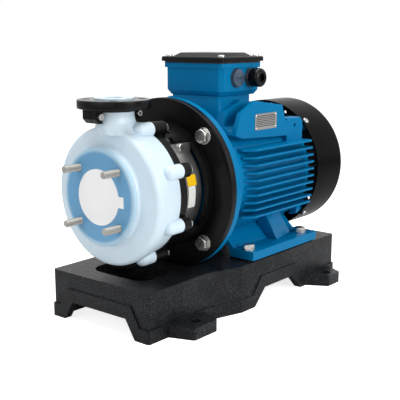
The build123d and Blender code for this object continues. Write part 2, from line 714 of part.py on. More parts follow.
def collar_screws():
    """Two socket screws that close the split collar."""
    z = SHAFT_Z + DISCHARGE_TOP - DISCHARGE_FLANGE_T - COLLAR_EAR_H / 2
    reach = COLLAR_EAR_FRONT_T + COLLAR_EAR_REAR_T - 2
    screws = []
    for way in (-1, 1):
        x = DISCHARGE_X + way * (COLLAR_EAR_IN + COLLAR_EAR_OUT) / 2
        screws.append(Pos(x, -COLLAR_EAR_FRONT_T, z) * Rot(90, 0, 0) * cap_screw(COLLAR_SCREW_D, reach))
    return group(screws)


def scalloped_ring(x0, x1, r, bore, lug_r):
    """Ring with one round lug per casing bolt and the bolt holes."""
    ring = rod_x(x0, x1, r)
    half = 0.8 * lug_r
    for angle in CASE_BOLT_ANGLES:
        ring += pin_x(x0, x1, lug_r, CASE_LUG_PITCH_R, angle)
        web = slab(x0, x1, bore, CASE_LUG_PITCH_R, SHAFT_Z - half, SHAFT_Z + half)
        ring += web.rotate(SHAFT_AXIS, angle)
    ring -= rod_x(x0, x1, bore)
    for angle in CASE_BOLT_ANGLES:
        ring -= pin_x(x0, x1, CASE_BOLT_D / 2 + HOLE_GAP / 2, CASE_LUG_PITCH_R, angle)
    return ring


def clamp_ring():
    """Scalloped ring that clamps the rear cover to the casing."""
    return scalloped_ring(CASE_REAR_X, RING_REAR_X, RING_R, RING_BORE_R, RING_LUG_R)


def bolt_seat_x(angle):
    """Seat of a casing bolt: the clamp ring in the lantern's windows, the lantern elsewhere."""
    rise = math.degrees(math.asin(math.sin(math.radians(angle))))
    return RING_REAR_X if WINDOW_DOWN_DEG < rise < WINDOW_UP_DEG else LANTERN_RING_X


def casing_bolts():
    """Bolts from the lantern or the clamp ring into the casing lugs."""
    bolts = []
    for angle in CASE_BOLT_ANGLES:
        seat_x = bolt_seat_x(angle)
        length = seat_x - CASE_REAR_X + CASE_BOLT_BITE - 1
        y, z = around(CASE_LUG_PITCH_R, angle)
        bolt = hex_bolt(CASE_BOLT_D, length, CASE_BOLT_AF, CASE_BOLT_HEAD)
        bolts.append(Pos(seat_x, y, z) * Rot(0, 90, 0) * bolt)
    return group(bolts)


def rear_cover():
    """Back wall of the pumping chamber with the seal housing in its hub."""
    x0 = CASE_REAR_X - COVER_T
    hub_x = CASE_REAR_X + COVER_HUB_T
    corners = [
        (x0, STUB_SLEEVE_R + 4), (x0, REGISTER_R - SEAT_GAP), (CASE_REAR_X, REGISTER_R - SEAT_GAP),
        (CASE_REAR_X, COVER_HUB_R + 6), (hub_x, COVER_HUB_R), (hub_x, SEAT_RING_R + SEAT_GAP),
        (hub_x - SEAT_RING_T, SEAT_RING_R + SEAT_GAP), (hub_x - SEAT_RING_T, STUB_SLEEVE_R + 4),
    ]
    return turned(corners, 0.0)


def seal_seat():
    """Stationary ring of the mechanical seal."""
    hub_x = CASE_REAR_X + COVER_HUB_T
    return rod_x(hub_x - SEAT_RING_T, hub_x, SEAT_RING_R, STUB_SLEEVE_R + 1)


def seal_face():
    """Rotating ring of the mechanical seal."""
    x0 = CASE_REAR_X + COVER_HUB_T + RUN_GAP
    return rod_x(x0, x0 + SEAL_FACE_T, SEAL_FACE_R, STUB_SLEEVE_R + SEAT_GAP)


def seal_bellows():
    """Corrugated bellows that presses the rotating ring against its seat."""
    x0 = CASE_REAR_X + COVER_HUB_T + RUN_GAP + SEAL_FACE_T
    fold = BELLOWS_L / BELLOWS_FOLDS
    inner_r = STUB_SLEEVE_R + SEAT_GAP
    root_r = inner_r + 2
    outer = []
    for i in range(BELLOWS_FOLDS):
        start = x0 + fold * i
        outer += [(start, root_r), (start + fold / 2, BELLOWS_R)]
    outer.append((x0 + BELLOWS_L, root_r))
    return turned(outer + [(x0 + BELLOWS_L, inner_r), (x0, inner_r)])


def seal_collar():
    """Drive collar of the mechanical seal."""
    x0 = CASE_REAR_X + COVER_HUB_T + RUN_GAP + SEAL_FACE_T + BELLOWS_L
    collar = rod_x(x0, x0 + SEAL_COLLAR_T, SEAL_COLLAR_R, STUB_SLEEVE_R + SEAT_GAP)
    return chamfer(collar.edges().filter_by(GeomType.CIRCLE).sort_by(SortBy.LENGTH)[-2:], 1)


def lantern_window(side):
    """Sector-shaped side opening of the lantern barrel."""
    reach = LANTERN_REAR_R + 10
    corners = [(0, 0)]
    for angle in (WINDOW_DOWN_DEG, (WINDOW_DOWN_DEG + WINDOW_UP_DEG) / 2, WINDOW_UP_DEG):
        turn = math.radians(angle)
        scale = reach * 1.3
        corners.append((side * scale * math.cos(turn), scale * math.sin(turn)))
    sector = [(y, z + SHAFT_Z) for y, z in corners]
    return prism_x(sector, WINDOW_FRONT_X, WINDOW_REAR_X)


def lantern_barrel():
    """Conical wall of the lantern between its front ring and its flange."""
    corners = [
        (RING_REAR_X, LANTERN_FRONT_R - LANTERN_WALL), (RING_REAR_X, LANTERN_FRONT_R),
        (FLANGE_X + 1, LANTERN_REAR_R), (FLANGE_X + 1, LANTERN_REAR_R - LANTERN_WALL),
    ]
    return turned(corners)


def lantern_bracket():
    """Cast bracket between pump and motor with side windows and a drain opening."""
    body = lantern_barrel()
    body += scalloped_ring(RING_REAR_X, LANTERN_RING_X, LANTERN_FRONT_R, LANTERN_BORE_R, RING_LUG_R)
    flange = rod_x(FLANGE_X, MOTOR_FACE_X, FLANGE_R, LANTERN_REAR_R - LANTERN_WALL)
    flange = fillet(flange.edges().group_by(SortBy.LENGTH)[-1].sort_by(Axis.X)[0], 1.5)
    body += flange
    body -= rod_x(MOTOR_FACE_X - SPIGOT_T - RUN_GAP, MOTOR_FACE_X, SPIGOT_R + SEAT_GAP)
    for side in (1, -1):
        body -= lantern_window(side)
        body += guard_pad(side)
        body -= guard_screw_hole(side, 30)
    half = DRAIN_WINDOW_W / 2
    body -= slab(DRAIN_FRONT_X, WINDOW_REAR_X, -half, half, 0, SHAFT_Z - GUARD_R / 2)
    for angle in CASE_BOLT_ANGLES:
        body -= pin_x(LANTERN_RING_X, LANTERN_RING_X + 14, 9, CASE_LUG_PITCH_R, angle)
        body -= pin_x(RING_REAR_X, LANTERN_RING_X, CASE_BOLT_D / 2 + HOLE_GAP / 2, CASE_LUG_PITCH_R, angle)
    for angle in QUARTERS:
        body -= pin_x(FLANGE_X, MOTOR_FACE_X, M12_D / 2 + HOLE_GAP, FLANGE_PCD / 2, angle)
    return body


def guard_pad(side):
    """Flat-faced pad on the lantern wall that takes the guard's tab."""
    y0, z0 = around(GUARD_R + SEAT_GAP, GUARD_UP_DEG)
    outer = side * y0
    inner = side * (y0 - 14)
    low, high = sorted((inner, outer))
    pad = slab(LANTERN_RING_X, WINDOW_REAR_X + 2, low, high, z0 + 1, z0 + GUARD_TAB_H + 8)
    return pad & rod_x(LANTERN_RING_X, WINDOW_REAR_X + 2, LANTERN_REAR_R)


def guard_screw_hole(side, length):
    """Hole for the screw of a guard's tab, centred on the tab's seat."""
    y, z = around(GUARD_R + SEAT_GAP, GUARD_UP_DEG)
    hole = Cylinder(GUARD_SCREW_D / 2 + SEAT_GAP, length)
    return Pos(GUARD_SCREW_X, side * y, z + GUARD_TAB_H / 2 + 1) * Rot(90, 0, 0) * hole


def guard_sheet(side):
    """Bent sheet that closes a lantern window, with a flat tab at its upper end."""
    x0 = WINDOW_FRONT_X + RUN_GAP
    x1 = WINDOW_REAR_X - RUN_GAP
    wall = rod_x(x0, x1, GUARD_R, GUARD_R - GUARD_T)
    corners = [(0, SHAFT_Z)]
    steps = 4
    for i in range(steps + 1):
        angle = math.radians(GUARD_DOWN_DEG + (GUARD_UP_DEG - GUARD_DOWN_DEG) * i / steps)
        corners.append((side * 1.5 * GUARD_R * math.cos(angle), SHAFT_Z + 1.5 * GUARD_R * math.sin(angle)))
    sheet = wall & prism_x(corners, x0, x1)
    y0, z0 = around(GUARD_R + SEAT_GAP, GUARD_UP_DEG)
    low, high = sorted((side * y0, side * (y0 + GUARD_T)))
    tab = slab(x0, x1, low, high, z0 - 2, z0 + GUARD_TAB_H)
    return sheet + tab - guard_screw_hole(side, 10)


def guard_screws():
    """Pan head screws that hold the two guard sheets."""
    y0, z0 = around(GUARD_R + SEAT_GAP, GUARD_UP_DEG)
    z = z0 + GUARD_TAB_H / 2 + 1
    screws = []
    for side in (1, -1):
        y = side * (y0 + GUARD_T)
        place = Pos(GUARD_SCREW_X, y, z) * Rot(-90 * side, 0, 0)
        screws.append(place * pan_screw(GUARD_SCREW_D, GUARD_SCREW_L))
    return group(screws)


def lantern_bolts():
    """Hex bolts that join the lantern to the motor flange."""
    length = M12_WASHER_T + LANTERN_FLANGE_T + MOTOR_FLANGE_T + M12_NUT + 4
    bolts = []
    for angle in QUARTERS:
        y, z = around(FLANGE_PCD / 2, angle)
        seat = Pos(FLANGE_X - M12_WASHER_T, y, z) * Rot(0, -90, 0)
        bolts.append(seat * hex_bolt(M12_D, length, M12_AF, M12_HEAD))
    return group(bolts)


def washer_x(x0, radius, angle):
    """Washer of a lantern bolt with its rear face at x0."""
    y, z = around(radius, angle)
    ring = Cylinder(M12_WASHER_R, M12_WASHER_T, align=LOW)
    ring -= Cylinder(M12_D / 2 + HOLE_GAP, M12_WASHER_T, align=LOW)
    return Pos(x0 - M12_WASHER_T, y, z) * Rot(0, 90, 0) * ring


def lantern_washers():
    """Washers below the lantern bolt heads."""
    return group([washer_x(FLANGE_X, FLANGE_PCD / 2, angle) for angle in QUARTERS])


def lantern_nuts():
    """Nuts behind the motor flange."""
    nuts = []
    for angle in QUARTERS:
        y, z = around(FLANGE_PCD / 2, angle)
        nut = hex_prism(M12_AF, M12_NUT) - Cylinder(M12_D / 2 + SEAT_GAP, M12_NUT, align=LOW)
        nuts.append(Pos(MOTOR_FACE_X + MOTOR_FLANGE_T, y, z) * Rot(0, 90, 0) * nut)
    return group(nuts)


def pump_shaft():
    """Stub shaft: sleeve over the motor shaft, nose carrying the impeller."""
    hub_x = IMPELLER_REAR_X - IMPELLER_HUB_L
    corners = [
        (STUB_NOSE_X, 0), (STUB_NOSE_X, STUB_NOSE_R - 3), (hub_x, STUB_NOSE_R - 3),
        (hub_x, STUB_NOSE_R), (IMPELLER_REAR_X, STUB_NOSE_R), (IMPELLER_REAR_X, STUB_SLEEVE_R - 2),
        (STUB_SLEEVE_X, STUB_SLEEVE_R - 2), (STUB_SLEEVE_X, STUB_SLEEVE_R), (STUB_REAR_X, STUB_SLEEVE_R),
        (STUB_REAR_X, SHAFT_D / 2 + SEAT_GAP), (SHAFT_TIP_X - STUB_BORE_GAP, SHAFT_D / 2 + SEAT_GAP),
        (SHAFT_TIP_X - STUB_BORE_GAP, 0),
    ]
    shaft = turned(corners)
    for angle in (90, 210):
        shaft -= radial_hole(STUB_REAR_X - 10, 3.0 + SEAT_GAP, STUB_SLEEVE_R, angle)
    return shaft - shaft_key_block(SEAT_GAP)


def radial_hole(x, r, reach, angle):
    """Hole from the shaft's surface outwards at an angle about the shaft."""
    bar = Pos(0, 0, SHAFT_D / 2 - 1) * Cylinder(r, reach, align=LOW)
    return Pos(x, 0, SHAFT_Z) * Rot(angle - 90, 0, 0) * bar


def stub_screws():
    """Set screws that lock the stub shaft on the motor shaft."""
    screws = []
    for angle in (90, 210):
        length = STUB_SLEEVE_R - SHAFT_D / 2 - SEAT_GAP
        bar = Cylinder(3.0, length, align=LOW) - Pos(0, 0, length - 2) * hex_prism(3, 3)
        place = Pos(STUB_REAR_X - 10, 0, SHAFT_Z) * Rot(angle - 90, 0, 0)
        screws.append(place * Pos(0, 0, SHAFT_D / 2 + SEAT_GAP) * bar)
    return group(screws)


def shaft_key_block(extra=0.0):
    """Key between motor shaft and stub shaft, enlarged by extra."""
    half_w = 4 + extra
    x0 = SHAFT_TIP_X + 5
    x1 = SHAFT_TIP_X + 35
    return slab(x0 - extra, x1 + extra, -half_w, half_w, SHAFT_Z - SHAFT_D / 2 - 3 - extra,
                SHAFT_Z - SHAFT_D / 2 + 4 + extra)


def slinger():
    """Rubber ring on the stub shaft that throws off leakage."""
    x1 = STUB_REAR_X - 16
    corners = [(x1 - SLINGER_T, STUB_SLEEVE_R + SEAT_GAP), (x1 - SLINGER_T, STUB_SLEEVE_R + 3),
               (x1 - 1.5, SLINGER_R), (x1, SLINGER_R), (x1, STUB_SLEEVE_R + SEAT_GAP)]
    return turned(corners)


def impeller_vane(angle):
    """One backward-curved vane between the shrouds."""
    inner = IMPELLER_EYE_R + 1
    start = math.radians(angle)
    end = math.radians(angle - 70)
    mid = math.radians(angle - 22)
    mid_r = (inner + IMPELLER_R) / 2
    line = ThreePointArc(
        (inner * math.cos(start), inner * math.sin(start)),
        (mid_r * math.cos(mid), mid_r * math.sin(mid)),
        ((IMPELLER_R - 2) * math.cos(end), (IMPELLER_R - 2) * math.sin(end)),
    )
    blade = make_face(offset(Wire([line]), IMPELLER_VANE_T / 2, kind=Kind.ARC))
    height = IMPELLER_VANE_H + 2
    plane = Plane(origin=(IMPELLER_REAR_X - IMPELLER_SHROUD_T - IMPELLER_VANE_H - 1, 0, SHAFT_Z),
                  x_dir=(0, 1, 0), z_dir=(1, 0, 0))
    return extrude(plane * blade, height)


def impeller():
    """Closed impeller: two shrouds, hub and curved vanes."""
    back_x = IMPELLER_REAR_X - IMPELLER_SHROUD_T
    vane_x = back_x - IMPELLER_VANE_H
    front_x = vane_x - IMPELLER_SHROUD_T
    bore_r = STUB_NOSE_R + SEAT_GAP
    wheel = rod_x(back_x, IMPELLER_REAR_X, IMPELLER_R, bore_r)
    wheel += rod_x(IMPELLER_REAR_X - IMPELLER_HUB_L, IMPELLER_REAR_X, IMPELLER_HUB_R, bore_r)
    wheel += rod_x(front_x, vane_x, IMPELLER_R, IMPELLER_EYE_R)
    wheel += rod_x(CHAMBER_FRONT_X - 3, vane_x, IMPELLER_EYE_R, IMPELLER_EYE_R - 2.5)
    for i in range(IMPELLER_VANES):
        wheel += impeller_vane(360 / IMPELLER_VANES * i)
    return wheel


def impeller_nut():
    """Rounded nut that closes the impeller hub towards the eye."""
    x1 = IMPELLER_REAR_X - IMPELLER_HUB_L
    bore_r = STUB_NOSE_R - 3 + SEAT_GAP
    tip = x1 - IMPELLER_NUT_L
    corners = [
        (tip, 0), (tip, IMPELLER_NUT_R * 0.6), (x1 - 5, IMPELLER_NUT_R), (x1, IMPELLER_NUT_R), (x1, 0),
    ]
    return turned(corners) - rod_x(STUB_NOSE_X - SEAT_GAP, x1, bore_r)


def motor_front_shield():
    """Front end shield with the mounting flange and the bearing seat."""
    x0 = MOTOR_FACE_X
    x1 = FRAME_FRONT_X
    hub_x = FRONT_BEARING_X + BEARING_T
    corners = [
        (x0 - SPIGOT_T, SPIGOT_R - 10), (x0 - SPIGOT_T, SPIGOT_R), (x0, SPIGOT_R), (x0, FLANGE_R),
        (x0 + MOTOR_FLANGE_T, FLANGE_R), (x0 + MOTOR_FLANGE_T, FRAME_R + 1), (x1, FRAME_R),
        (x1, STATOR_R), (x1 + 5, STATOR_R), (x1 + 5, STATOR_R - 6), (x0 + 18, STATOR_R - 12),
        (x0 + 18, BEARING_R + 10), (hub_x, BEARING_R + 8), (hub_x, BEARING_R + SEAT_GAP),
        (FRONT_BEARING_X, BEARING_R + SEAT_GAP), (FRONT_BEARING_X, BEARING_BORE_R + 4),
        (x0 + 12, BEARING_BORE_R + 4), (x0 + 8, BEARING_R + 10),
    ]
    shield = turned(corners, 0.0)
    for angle in QUARTERS:
        shield -= pin_x(x0, x0 + MOTOR_FLANGE_T, M12_D / 2 + HOLE_GAP, FLANGE_PCD / 2, angle)
    for angle in (28, 152, 208, 332):
        ear = pin_x(x0 + MOTOR_FLANGE_T, x1, EAR_R, EAR_PITCH_R, angle)
        shield += ear - rod_x(x0, x1 + 5, STATOR_R)
    return shield


def bearing_outer(x0):
    """Outer ring of a ball bearing."""
    return rod_x(x0, x0 + BEARING_T, BEARING_R, BEARING_R - BEARING_RING_T)


def bearing_inner(x0):
    """Inner ring and balls of a bearing."""
    ring_r = BEARING_BORE_R + BEARING_RING_T
    inner = rod_x(x0, x0 + BEARING_T, ring_r, BEARING_BORE_R + SEAT_GAP)
    track_r = (ring_r + BEARING_R - BEARING_RING_T) / 2
    balls = [inner]
    for i in range(BALL_COUNT):
        y, z = around(track_r, 360 / BALL_COUNT * i)
        balls.append(Pos(x0 + BEARING_T / 2, y, z) * Sphere(BALL_R))
    return group(balls)


def motor_shaft():
    """Stepped motor shaft from the pump sleeve to the fan."""
    core_x0 = STATOR_FRONT_X - ROTOR_RING_T - 12
    core_x1 = STATOR_FRONT_X + STATOR_L + ROTOR_RING_T + 12
    rear_x = FAN_FRONT_X + FAN_L + 4
    corners = [
        (SHAFT_TIP_X, 0), (SHAFT_TIP_X, SHAFT_D / 2), (MOTOR_FACE_X, SHAFT_D / 2),
        (MOTOR_FACE_X, BEARING_BORE_R), (FRONT_BEARING_X + BEARING_T, BEARING_BORE_R),
        (FRONT_BEARING_X + BEARING_T, CORE_SHAFT_R - 0.5), (core_x0, CORE_SHAFT_R - 0.5),
        (core_x0, CORE_SHAFT_R), (core_x1, CORE_SHAFT_R), (core_x1, CORE_SHAFT_R - 0.5),
        (REAR_BEARING_X, CORE_SHAFT_R - 0.5), (REAR_BEARING_X, BEARING_BORE_R),
        (REAR_BEARING_X + BEARING_T + 2, BEARING_BORE_R), (REAR_BEARING_X + BEARING_T + 2, FAN_SEAT_R),
        (rear_x, FAN_SEAT_R), (rear_x, 0),
    ]
    return turned(corners) - shaft_key_block(SEAT_GAP)


def rotor_core():
    """Laminated rotor with its cast end rings and balancing fins."""
    x0 = STATOR_FRONT_X
    x1 = STATOR_FRONT_X + STATOR_L
    bore_r = CORE_SHAFT_R + SEAT_GAP
    core = rod_x(x0, x1, ROTOR_R, bore_r)
    for start in (x0 - ROTOR_RING_T, x1):
        core += rod_x(start, start + ROTOR_RING_T, ROTOR_R - 3, ROTOR_R - 18)
    return core


def stator_core():
    """Laminated stator pack pressed into the motor frame."""
    return rod_x(STATOR_FRONT_X, STATOR_FRONT_X + STATOR_L, STATOR_R, STATOR_BORE_R)


def stator_winding():
    """Coil heads at both ends of the stator pack."""
    heads = []
    for x0, x1 in ((STATOR_FRONT_X - WINDING_REACH, STATOR_FRONT_X),
                   (STATOR_FRONT_X + STATOR_L, STATOR_FRONT_X + STATOR_L + WINDING_REACH)):
        inner = STATOR_BORE_R + 4
        outer = STATOR_R - 8
        corners = [(x0, inner), (x0, outer), (x1, outer), (x1, inner)]
        heads.append(turned(corners, [5 if x1 == STATOR_FRONT_X else 0] * 2
                            + [0 if x1 == STATOR_FRONT_X else 5] * 2))
    return group(heads)


def side_fins():
    """Horizontal cooling fins on both sides of the motor frame."""
    fins = []
    for i in range(FIN_COUNT):
        z = FIN_TOP_Z - FIN_PITCH * i
        root = math.sqrt(FRAME_R ** 2 - (abs(z) + FIN_T) ** 2) - 2
        tip = FIN_TIP - FIN_TIP_FALL * z ** 2
        for side in (1, -1):
            corners = [(FIN_START_X, side * root), (FIN_START_X, side * (tip - FIN_TAPER)),
                       (FIN_TAPER_X, side * tip), (FRAME_REAR_X, side * tip), (FRAME_REAR_X, side * root)]
            fins.append(prism_z(corners, SHAFT_Z + z - FIN_T / 2, SHAFT_Z + z + FIN_T / 2))
    return fins


def end_fins():
    """Upright fins on the top and the bottom of the motor frame."""
    fins = []
    for i in range(TOP_FIN_COUNT):
        y = TOP_FIN_PITCH * (i - (TOP_FIN_COUNT - 1) / 2)
        root = math.sqrt(FRAME_R ** 2 - (abs(y) + FIN_T) ** 2) - 2
        for way in (1, -1):
            tip = FIN_TIP - 4
            corners = [(FIN_START_X, SHAFT_Z + way * root), (FIN_START_X, SHAFT_Z + way * (tip - 5)),
                       (FIN_TAPER_X, SHAFT_Z + way * tip), (FRAME_REAR_X, SHAFT_Z + way * tip),
                       (FRAME_REAR_X, SHAFT_Z + way * root)]
            fins.append(prism_y(corners, y - FIN_T / 2, y + FIN_T / 2))
    return fins


def plate_pad(side):
    """Shoulder of the motor frame with the flat face that carries the nameplate."""
    z0 = SHAFT_Z + PLATE_PAD_LOW
    z1 = SHAFT_Z + PLATE_PAD_TOP
    face = side * PLATE_PAD_Y
    section = [(side * 40, z0 + 16), (side * 62, z0), (face, z0), (face, z1), (side * 46, z1)]
    block = prism_x(section, FRAME_FRONT_X, FRAME_REAR_X)
    front = FIN_START_X - 11
    outline = [
        (front, z1 - 49), (front + 12, z1 - 18), (front + 48, z1 - 2), (front + 118, z1 - 12),
        (front + 126, z1 - 34), (FRAME_REAR_X - 16, z0 + 4), (front + 17, z0 + 11),
    ]
    block &= prism_y(outline, -2 * PLATE_PAD_Y, 2 * PLATE_PAD_Y)
    inner = PLATE_PAD_Y - PLATE_PAD_WALL
    pocket = [(side * 58, z0 + 28), (side * (inner - 3), z0 + 20), (side * inner, z1 + 1),
              (side * 58, z1 + 1)]
    block -= prism_x(pocket, front - 1, front + 112)
    return block + side_ear(side)


def side_ear(side):
    """Block with a tapped hole behind the nameplate shoulder."""
    x1 = FRAME_REAR_X - 2
    x0 = x1 - SIDE_EAR_L
    z0 = SHAFT_Z + SIDE_EAR_LOW
    z1 = SHAFT_Z + SIDE_EAR_TOP
    face = side * PLATE_PAD_Y
    section = [(side * 48, z1 - 14), (side * 66, z0), (face, z0), (face, z1), (side * 66, z1)]
    block = prism_x(section, x0, x1, [0, 0, 0, 2, 0])
    outline = [(x0, z0), (x1, z0), (x1, z1 - SIDE_EAR_SLOPE), (x1 - SIDE_EAR_SLOPE, z1), (x0, z1)]
    block &= prism_y(outline, -2 * PLATE_PAD_Y, 2 * PLATE_PAD_Y, [0, 0, 4, 4, 0])
    hole = Cylinder(SIDE_EAR_HOLE_R, 2 * PLATE_PAD_WALL)
    return block - Pos((x0 + x1) / 2, face, z1 - 12) * Rot(90, 0, 0) * hole


def foot_leg(side):
    """Outer leg between the foot bolts, leaning in towards the frame."""
    low = PAD_TOP + FOOT_T / 2
    high = SHAFT_Z - BEARING_R - LEG_TOP_DEPTH
    x0 = (FOOT_XS[0] + FOOT_XS[1]) / 2 + LEG_START
    x1 = FOOT_XS[1] - LEG_START
    root = FOOT_SPAN_Y / 2 - FOOT_WEB_INSET
    foot_y = FOOT_SPAN_Y / 2 + FOOT_T / 4
    rear_y = FOOT_SPAN_Y / 2 - FOOT_WASHER_R - LEG_START + FOOT_T / 4
    inner = LEG_TOP_Y - LEG_TOP_DEPTH
    foot = [(x0, side * foot_y), (x1, side * rear_y), (x1, side * (root - FOOT_WEB_T)),
            (x0, side * (root - FOOT_WEB_T))]
    top = [(x0, side * LEG_TOP_Y), (x0 + LEG_TOP_L, side * LEG_TOP_Y), (x0 + LEG_TOP_L, side * inner),
           (x0, side * inner)]
    low_face = Pos(0, 0, low) * make_face(Polyline(*foot, close=True))
    high_face = Pos(0, 0, high) * make_face(Polyline(*top, close=True))
    return loft([low_face, high_face], ruled=True)


def motor_foot(side):
    """Foot plate with its inclined web and outer leg up to the motor frame."""
    z0 = PAD_TOP
    z1 = z0 + FOOT_T
    x0 = FOOT_XS[0] - FOOT_FRONT
    x1 = FOOT_XS[1] + FOOT_REAR
    inner, outer = sorted((side * FOOT_IN, side * FOOT_OUT))
    foot = slab(x0, x1, inner, outer, z0, z1)
    web_y = FOOT_SPAN_Y / 2 - FOOT_WEB_INSET
    web_x1 = FRAME_REAR_X - LEG_START
    web = [
        (side * web_y, z0 + 1), (side * web_y, z1), (side * (web_y - FOOT_WEB_RISE), z1 + FOOT_WEB_RISE),
        (side * (web_y - FOOT_WEB_RISE - FOOT_WEB_T), z1 + FOOT_WEB_RISE), (side * (web_y - FOOT_WEB_T), z1),
        (side * FOOT_IN, z0 + 1),
    ]
    foot += prism_x(web, x0, web_x1)
    foot += foot_leg(side)
    for x in FOOT_XS:
        foot -= Pos(x, side * FOOT_SPAN_Y / 2, z0) * Cylinder(FOOT_BOLT_D / 2 + HOLE_GAP, FOOT_T, align=LOW)
    return foot


def motor_frame():
    """Finned motor housing with feet, nameplate shoulders and the terminal box neck."""
    body = rod_x(FRAME_FRONT_X, FRAME_REAR_X, FRAME_R)
    for fin in side_fins() + end_fins():
        body += fin
    for side in (1, -1):
        body += plate_pad(side)
        body += motor_foot(side)
    neck_low = SHAFT_Z + STATOR_R - 30
    neck = slab(BOX_NECK_X0, BOX_NECK_X1, -BOX_NECK_W, BOX_NECK_W, neck_low, SHAFT_Z + BOX_LOW)
    body += fillet(neck.edges().filter_by(Axis.Z), 6)
    body -= rod_x(FRAME_FRONT_X, FRAME_REAR_X, STATOR_R + SEAT_GAP)
    body -= slab(BOX_MID_X - 22, BOX_MID_X + 18, -20, 20, SHAFT_Z, SHAFT_Z + BOX_LOW)
    return body


def foot_bolts():
    """Bolts that hold the motor feet to the baseplate."""
    z = PAD_TOP + FOOT_T + FOOT_WASHER_T
    bolts = []
    for x in FOOT_XS:
        for side in (1, -1):
            bolt = hex_bolt(FOOT_BOLT_D, FOOT_T + 24, FOOT_BOLT_AF, FOOT_BOLT_HEAD)
            bolts.append(Pos(x, side * FOOT_SPAN_Y / 2, z) * bolt)
    return group(bolts)


def foot_washers():
    """Washers below the foot bolts."""
    washers = []
    for x in FOOT_XS:
        for side in (1, -1):
            ring = Cylinder(FOOT_WASHER_R, FOOT_WASHER_T, align=LOW)
            ring -= Cylinder(FOOT_BOLT_D / 2 + HOLE_GAP, FOOT_WASHER_T, align=LOW)
            washers.append(Pos(x, side * FOOT_SPAN_Y / 2, PAD_TOP + FOOT_T) * ring)
    return group(washers)


def nameplate():
    """Bare metal plate on the near shoulder of the motor frame."""
    z = SHAFT_Z + PLATE_Z
    plate = Box(PLATE_L, PLATE_T, PLATE_H)
    plate = fillet(plate.edges().filter_by(Axis.Y), 2)
    return Pos(PLATE_X, -PLATE_PAD_Y - PLATE_T / 2, z) * plate


def rear_end_shield():
    """Rear end shield with ears, bearing seat and cowl bosses."""
    x0 = FRAME_REAR_X
    x1 = x0 + SHIELD_T
    seat_x1 = REAR_BEARING_X + BEARING_T
    corners = [
        (x0 - SHIELD_RIM, STATOR_R - SHIELD_RIM), (x0 - SHIELD_RIM, STATOR_R), (x0, STATOR_R), (x0, FRAME_R),
        (x1, FRAME_R - SHIELD_RIM / 2), (x1, BEARING_R + SHIELD_HUB_WALL),
        (seat_x1 + SHIELD_RIM, BEARING_R + SHIELD_SEAT_WALL), (seat_x1 + SHIELD_RIM, BEARING_BORE_R + 3),
        (seat_x1, BEARING_BORE_R + 3), (seat_x1, BEARING_R + SEAT_GAP), (x0, BEARING_R + SEAT_GAP),
        (x0, BEARING_R + SHIELD_SEAT_WALL), (x1 - SHIELD_RIM, BEARING_R + SHIELD_HUB_WALL),
        (x1 - SHIELD_RIM, STATOR_R - 2 * SHIELD_RIM),
    ]
    shield = turned(corners, 0.0)
    for angle in QUARTERS:
        ear = pin_x(x0, x1, EAR_R, EAR_PITCH_R, angle) - rod_x(x0, x1, STATOR_R)
        shield += ear
        boss_r = COWL_R - COWL_WALL - COWL_BOSS_R - 1.5
        boss = pin_x(x1 - 2, COWL_SCREW_X + SHIELD_RIM, COWL_BOSS_R, boss_r, angle)
        shield += boss
        y, z = around(COWL_R - 20, angle)
        drill = Cylinder(COWL_SCREW_D / 2 + SEAT_GAP, 24, align=LOW)
        shield -= Pos(COWL_SCREW_X, y, z) * Rot(angle - 90, 0, 0) * drill
        shield -= pin_x(x0, x1, SHIELD_BOLT_D / 2 + SEAT_GAP, EAR_PITCH_R + 1, angle + 5)
    return shield


def fan():
    """Radial fan behind the rear end shield."""
    x1 = FAN_FRONT_X + FAN_L
    wheel = rod_x(FAN_FRONT_X, x1, FAN_HUB_R)
    rim = FAN_R - 4
    wheel += turned([(x1 - 22, FAN_HUB_R - 1), (x1 - 6, rim), (x1 - 3, rim), (x1 - 18, FAN_HUB_R - 1)])
    for i in range(FAN_BLADES):
        blade = prism_y([(FAN_FRONT_X + 3, SHAFT_Z + FAN_HUB_R - 2), (FAN_FRONT_X + 3, SHAFT_Z + FAN_R - 12),
                         (FAN_FRONT_X + 12, SHAFT_Z + FAN_R), (x1 - 3, SHAFT_Z + FAN_R),
                         (x1 - 3, SHAFT_Z + FAN_HUB_R - 2)], -FAN_BLADE_T / 2, FAN_BLADE_T / 2)
        wheel += blade.rotate(SHAFT_AXIS, 360 / FAN_BLADES * i)
    return wheel - rod_x(FAN_FRONT_X, x1, FAN_SEAT_R + SEAT_GAP)


def fan_ring():
    """Retaining ring that keeps the fan on the shaft."""
    x0 = FAN_FRONT_X + FAN_L
    return rod_x(x0, x0 + 1.5, FAN_SEAT_R + 4, FAN_SEAT_R + SEAT_GAP)


